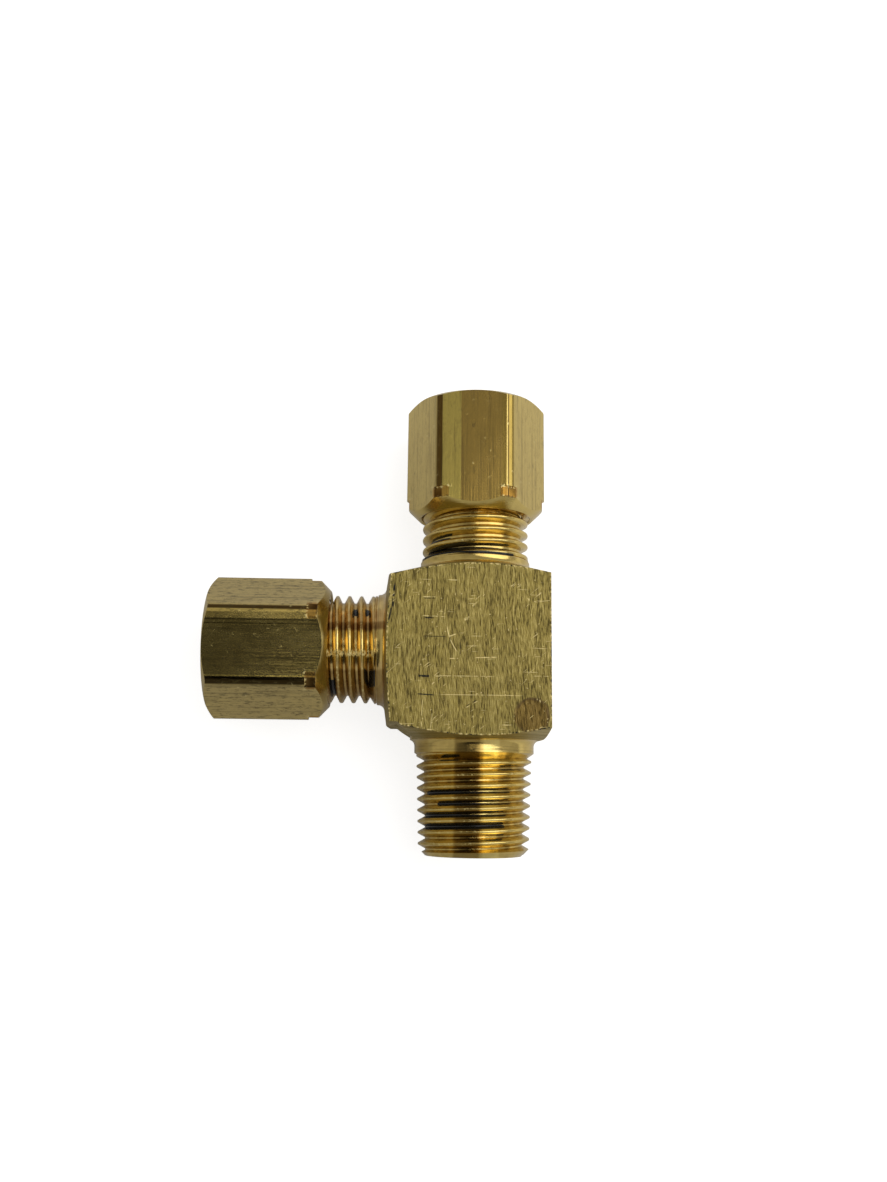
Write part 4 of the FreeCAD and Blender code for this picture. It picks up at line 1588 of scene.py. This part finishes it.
@dataclass
class Fitting:
    """The whole fitting: the tee with its two nuts and their sleeves, built and finished piece by piece."""

    half_thickness: float
    pieces: list[bpy.types.Object] = field(default_factory=list)

    def build(self) -> None:
        """Build every piece, give it its finish and tie it to its body."""
        self.build_tee()
        # painted reflections: the strips tint each nut's upper flat lighter and darker, and dark lines dim
        # the highlight on its corners
        self.build_end(Nut(Arm.RUN, 12.0, -4.4, 8.41), DRAWN, (
            PaintedReflection(-3.8, -2.86, (0.20, 0.15, 0.10)),
            PaintedReflection(-2.86, -1.20, (1.06, 1.10, 0.86)),
            PaintedReflection(-1.20, 2.36, (0.74, 0.66, 0.52)),
            PaintedReflection(2.36, 2.76, (0.66, 0.60, 0.42)),
            PaintedReflection(2.86, 2.97, (0.16, 0.12, 0.08)),
            PaintedReflection(2.97, 3.6, (0.60, 0.56, 0.42)),
        ), 0.30)
        self.build_end(Nut(Arm.BRANCH, 12.82, -3.6, 9.10), DRAWN_DARK, (
            PaintedReflection(3.02, 3.6, (0.16, 0.12, 0.09)),
            PaintedReflection(2.22, 3.02, (1.25, 1.22, 0.95)),
            PaintedReflection(2.05, 2.13, (0.25, 0.23, 0.18)),
            PaintedReflection(1.72, 1.80, (0.30, 0.28, 0.22)),
            PaintedReflection(-2.58, 2.22, (0.50, 0.50, 0.41)),
            PaintedReflection(-2.70, -2.58, (1.05, 1.05, 0.75)),
            PaintedReflection(-3.6, -2.70, (0.07, 0.06, 0.05)),
        ), 0.75)

    def build_tee(self) -> None:
        """Build and finish the tee."""
        tee = Tee(self.half_thickness)
        block, *arm_pieces = tee.build()
        self.dress(block, SawnFinish(SAWN, tee.block, FACE_SCRATCHES).build())
        looks = {Arm.RUN: (GOLDEN, RUN_OIL, ()), Arm.BRANCH: (COPPERY, BRANCH_OIL, BRANCH_REFLECTIONS),
                 Arm.PIPE: (GOLDEN, PIPE_OIL, PIPE_REFLECTIONS)}
        for index, arm in enumerate(tee.arms):
            brass, oil, bands = looks[arm.arm]
            upward = 1.0 if arm.arm is Arm.PIPE else -1.0
            root, crest = arm.form.crest - arm.form.depth, arm.form.crest
            sparkle = -0.85 if arm.arm is Arm.BRANCH else None
            thread = TurnedFinish(brass, root + 0.12, crest, arm.taper, arm.ridge, upward, oil,
                                  sparkle=sparkle, bands=bands)
            neck = TurnedFinish(brass, arm.neck - 0.16, arm.neck + 0.4, upward=upward, oil=oil, dirt=0.25,
                                bands=bands)
            place = arm.arm.turn()
            self.dress(arm_pieces[2 * index], neck.build(f"{arm.arm.value}_neck_brass", place))
            self.dress(arm_pieces[2 * index + 1], thread.build(f"{arm.arm.value}_thread_brass", place))
        for piece in (block, *arm_pieces):
            self.tie(piece, "tee", "tee_body")

    def build_end(self, nut: Nut, brass: Brass, strips: tuple[PaintedReflection, ...], mottle: float) -> None:
        """Build and finish one arm's nut and sleeve."""
        stem = nut.arm.value
        hexagon, thread = nut.build()
        sleeve = Sleeve(nut.arm, nut.place()).build()
        self.dress(hexagon, DrawnFinish(brass, nut, strips, mottle).build(f"{stem}_nut_brass"))
        inner = TurnedFinish(GOLDEN, 4.9, 4.2, dirt=0.8)
        self.dress(thread, inner.build(f"{stem}_nut_thread_brass", nut.place()))
        plain = TurnedFinish(PALE, 2.4, 3.3, dirt=0.2)
        self.dress(sleeve, plain.build(f"{stem}_ferrule_brass", nut.place()))
        for piece in (hexagon, thread):
            self.tie(piece, f"{stem}_nut", f"{stem}_nut")
        self.tie(sleeve, f"{stem}_sleeve", f"{stem}_sleeve")

    def dress(self, piece: bpy.types.Object, material: bpy.types.Material) -> None:
        """Give a piece its one material."""
        piece.data.materials.clear()
        piece.data.materials.append(material)

    def tie(self, piece: bpy.types.Object, body: str, node: str) -> None:
        """Tie a piece to its body, hide its CAD node, and report it."""
        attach(piece, body)
        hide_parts(node)
        self.pieces.append(piece)
        log.info("%s rides on %s with %d faces", piece.name, body, len(piece.data.polygons))


# ---------------------------------------------------------------------------------------------- the studio


@dataclass
class Studio:
    """The pale floor, the soft light round the fitting, and the camera."""

    floor: float
    lens: float = 33.949
    camera: tuple[float, float, float] = (-6.379, -12.050, 98.777)
    tilt: tuple[float, float, float] = (10.038, -2.0249, 1.0063)

    def build(self) -> None:
        """Set up the floor, the lights, the shades and the camera."""
        self.build_floor()
        self.build_sky()
        self.soft_light("window", (0.105, 0.045, 0.160), (0.12, 0.27), 1.50)
        self.soft_light("lamp", (-0.022, -0.027, 0.190), (0.045, 0.006), 2.5)
        self.shade("ceiling", (-0.062, -0.055, 0.26), (0.26, 0.23), 0.17)
        self.shade("ceiling_back", (-0.062, 0.165, 0.26), (0.26, 0.21), 0.34)
        self.shade("overhead", (-0.035, 0.000, 0.20), (0.060, 0.040), 0.060)
        self.shade("near_side", (-0.030, -0.100, 0.20), (0.100, 0.150), 0.02)
        self.build_camera()
        bpy.context.scene.view_settings.view_transform = "Standard"

    def build_floor(self) -> None:
        """Lay the floor: matt and pale, brighter to the eye than to the metal, and with a painted pool of
        light towards +x and +y that the camera doesn't see.
        """
        bpy.ops.object.select_all(action="DESELECT")
        bpy.ops.mesh.primitive_plane_add(size=1.6, location=(0, 0, self.floor * MM))
        floor = named("floor")
        material = bpy.data.materials.new("pale_floor")
        material.use_nodes = True
        tree = material.node_tree
        graph = Graph(tree)
        shader = tree.nodes["Principled BSDF"]
        shader.inputs["Base Color"].default_value = (0.66, 0.66, 0.66, 1)
        shader.inputs["Roughness"].default_value = 0.9
        glow = graph.add("ShaderNodeEmission", {"Color": (1.0, 1.0, 1.0), "Strength": 0.80})
        seen = graph.add("ShaderNodeLightPath", {}).outputs["Is Camera Ray"]
        east, north, _ = graph.parts(graph.add("ShaderNodeTexCoord", {}).outputs["Object"])
        # painted light: for rays other than the camera's, the floor glows more towards +x and +y, a painted
        # pool of light on the lit side
        side = graph.plus(graph.times(east, 0.8), graph.times(north, 0.6))
        lit = graph.ramp(side, -0.032, 0.032, 0.0, 0.27)
        dim = graph.add("ShaderNodeEmission", {"Color": (1.0, 1.0, 1.0), "Strength": lit})
        light = graph.add("ShaderNodeMixShader", {0: seen, 1: dim.outputs[0], 2: glow.outputs[0]})
        both = graph.add("ShaderNodeAddShader", {0: shader.outputs[0], 1: light.outputs[0]})
        graph.feed(tree.nodes["Material Output"].inputs["Surface"], both.outputs[0])
        floor.data.materials.append(material)
        floor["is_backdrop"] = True

    def build_sky(self) -> None:
        """Fill the room with even light."""
        world = bpy.data.worlds.new("room")
        bpy.context.scene.world = world
        world.use_nodes = True
        back = world.node_tree.nodes["Background"]
        back.inputs["Color"].default_value = (1.0, 0.985, 0.96, 1)
        back.inputs["Strength"].default_value = 0.42

    def soft_light(self, name: str, place: tuple[float, float, float], size: tuple[float, float],
                   radiance: float) -> None:
        """Hang a soft rectangular light that faces the fitting.

        Args:
            name: The light's name.
            place: Its place in metres.
            size: Its width and height in metres.
            radiance: How bright its face is.
        """
        data = bpy.data.lights.new(name, "AREA")
        data.shape = "RECTANGLE"
        data.size, data.size_y = size
        data.energy = radiance * math.pi * size[0] * size[1]
        light = bpy.data.objects.new(name, data)
        bpy.context.scene.collection.objects.link(light)
        light.location = place
        light.rotation_euler = Vector(place).to_track_quat("Z", "Y").to_euler()

    def shade(self, name: str, place: tuple[float, float, float], size: tuple[float, float],
              brightness: float) -> None:
        """Hang a dim card level above the fitting and behind the camera.

        Args:
            name: The card's name.
            place: Its middle in metres.
            size: Its width and length in metres.
            brightness: How bright its lower side is.
        """
        bpy.ops.object.select_all(action="DESELECT")
        bpy.ops.mesh.primitive_plane_add(size=1.0, location=place)
        card = named(name)
        card.scale = (size[0], size[1], 1.0)
        material = bpy.data.materials.new(f"{name}_card")
        material.use_nodes = True
        tree = material.node_tree
        graph = Graph(tree)
        glow = graph.add("ShaderNodeEmission", {"Color": (1.0, 0.97, 0.92), "Strength": brightness})
        graph.feed(tree.nodes["Material Output"].inputs["Surface"], glow.outputs[0])
        card.data.materials.append(material)
        card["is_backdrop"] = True

    def build_camera(self) -> None:
        """Place the camera above the fitting."""
        data = bpy.data.cameras.new("camera")
        data.lens = self.lens
        data.sensor_width = 36.0
        data.sensor_fit = "AUTO"
        data.clip_start = 0.005
        camera = bpy.data.objects.new("camera", data)
        bpy.context.scene.collection.objects.link(camera)
        camera.rotation_mode = "ZYX"
        camera.rotation_euler = [math.radians(angle) for angle in self.tilt]
        camera.location = [part * MM for part in self.camera]
        bpy.context.scene.camera = camera


def write_sizes(first: object, last: object) -> None:
    """Gather the CAD model's box and the visual model's box into a table, which is not written anywhere.

    Args:
        first: The box from straight after the frame was loaded.
        last: The box of the finished model.
    """
    boxes = {name: [list(corner) for corner in box] for name, box in (("cad", first), ("visual", last))}


def main() -> None:
    """Build the fitting and the studio round it."""
    logging.basicConfig(level=logging.INFO, format="%(name)s: %(message)s")
    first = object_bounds()
    _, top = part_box("tee_body")
    fitting = Fitting(half_thickness=top[2] / MM)
    fitting.build()
    Studio(floor=-fitting.half_thickness).build()
    log.info("%d pieces", len(fitting.pieces))
    write_sizes(first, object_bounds())


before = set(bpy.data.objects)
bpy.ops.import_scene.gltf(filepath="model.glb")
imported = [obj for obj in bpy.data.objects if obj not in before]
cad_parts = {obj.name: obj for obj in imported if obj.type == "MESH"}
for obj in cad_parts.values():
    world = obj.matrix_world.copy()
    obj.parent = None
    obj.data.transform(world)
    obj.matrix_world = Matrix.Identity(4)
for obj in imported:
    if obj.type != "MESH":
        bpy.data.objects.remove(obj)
if __name__ == "__main__":
    main()
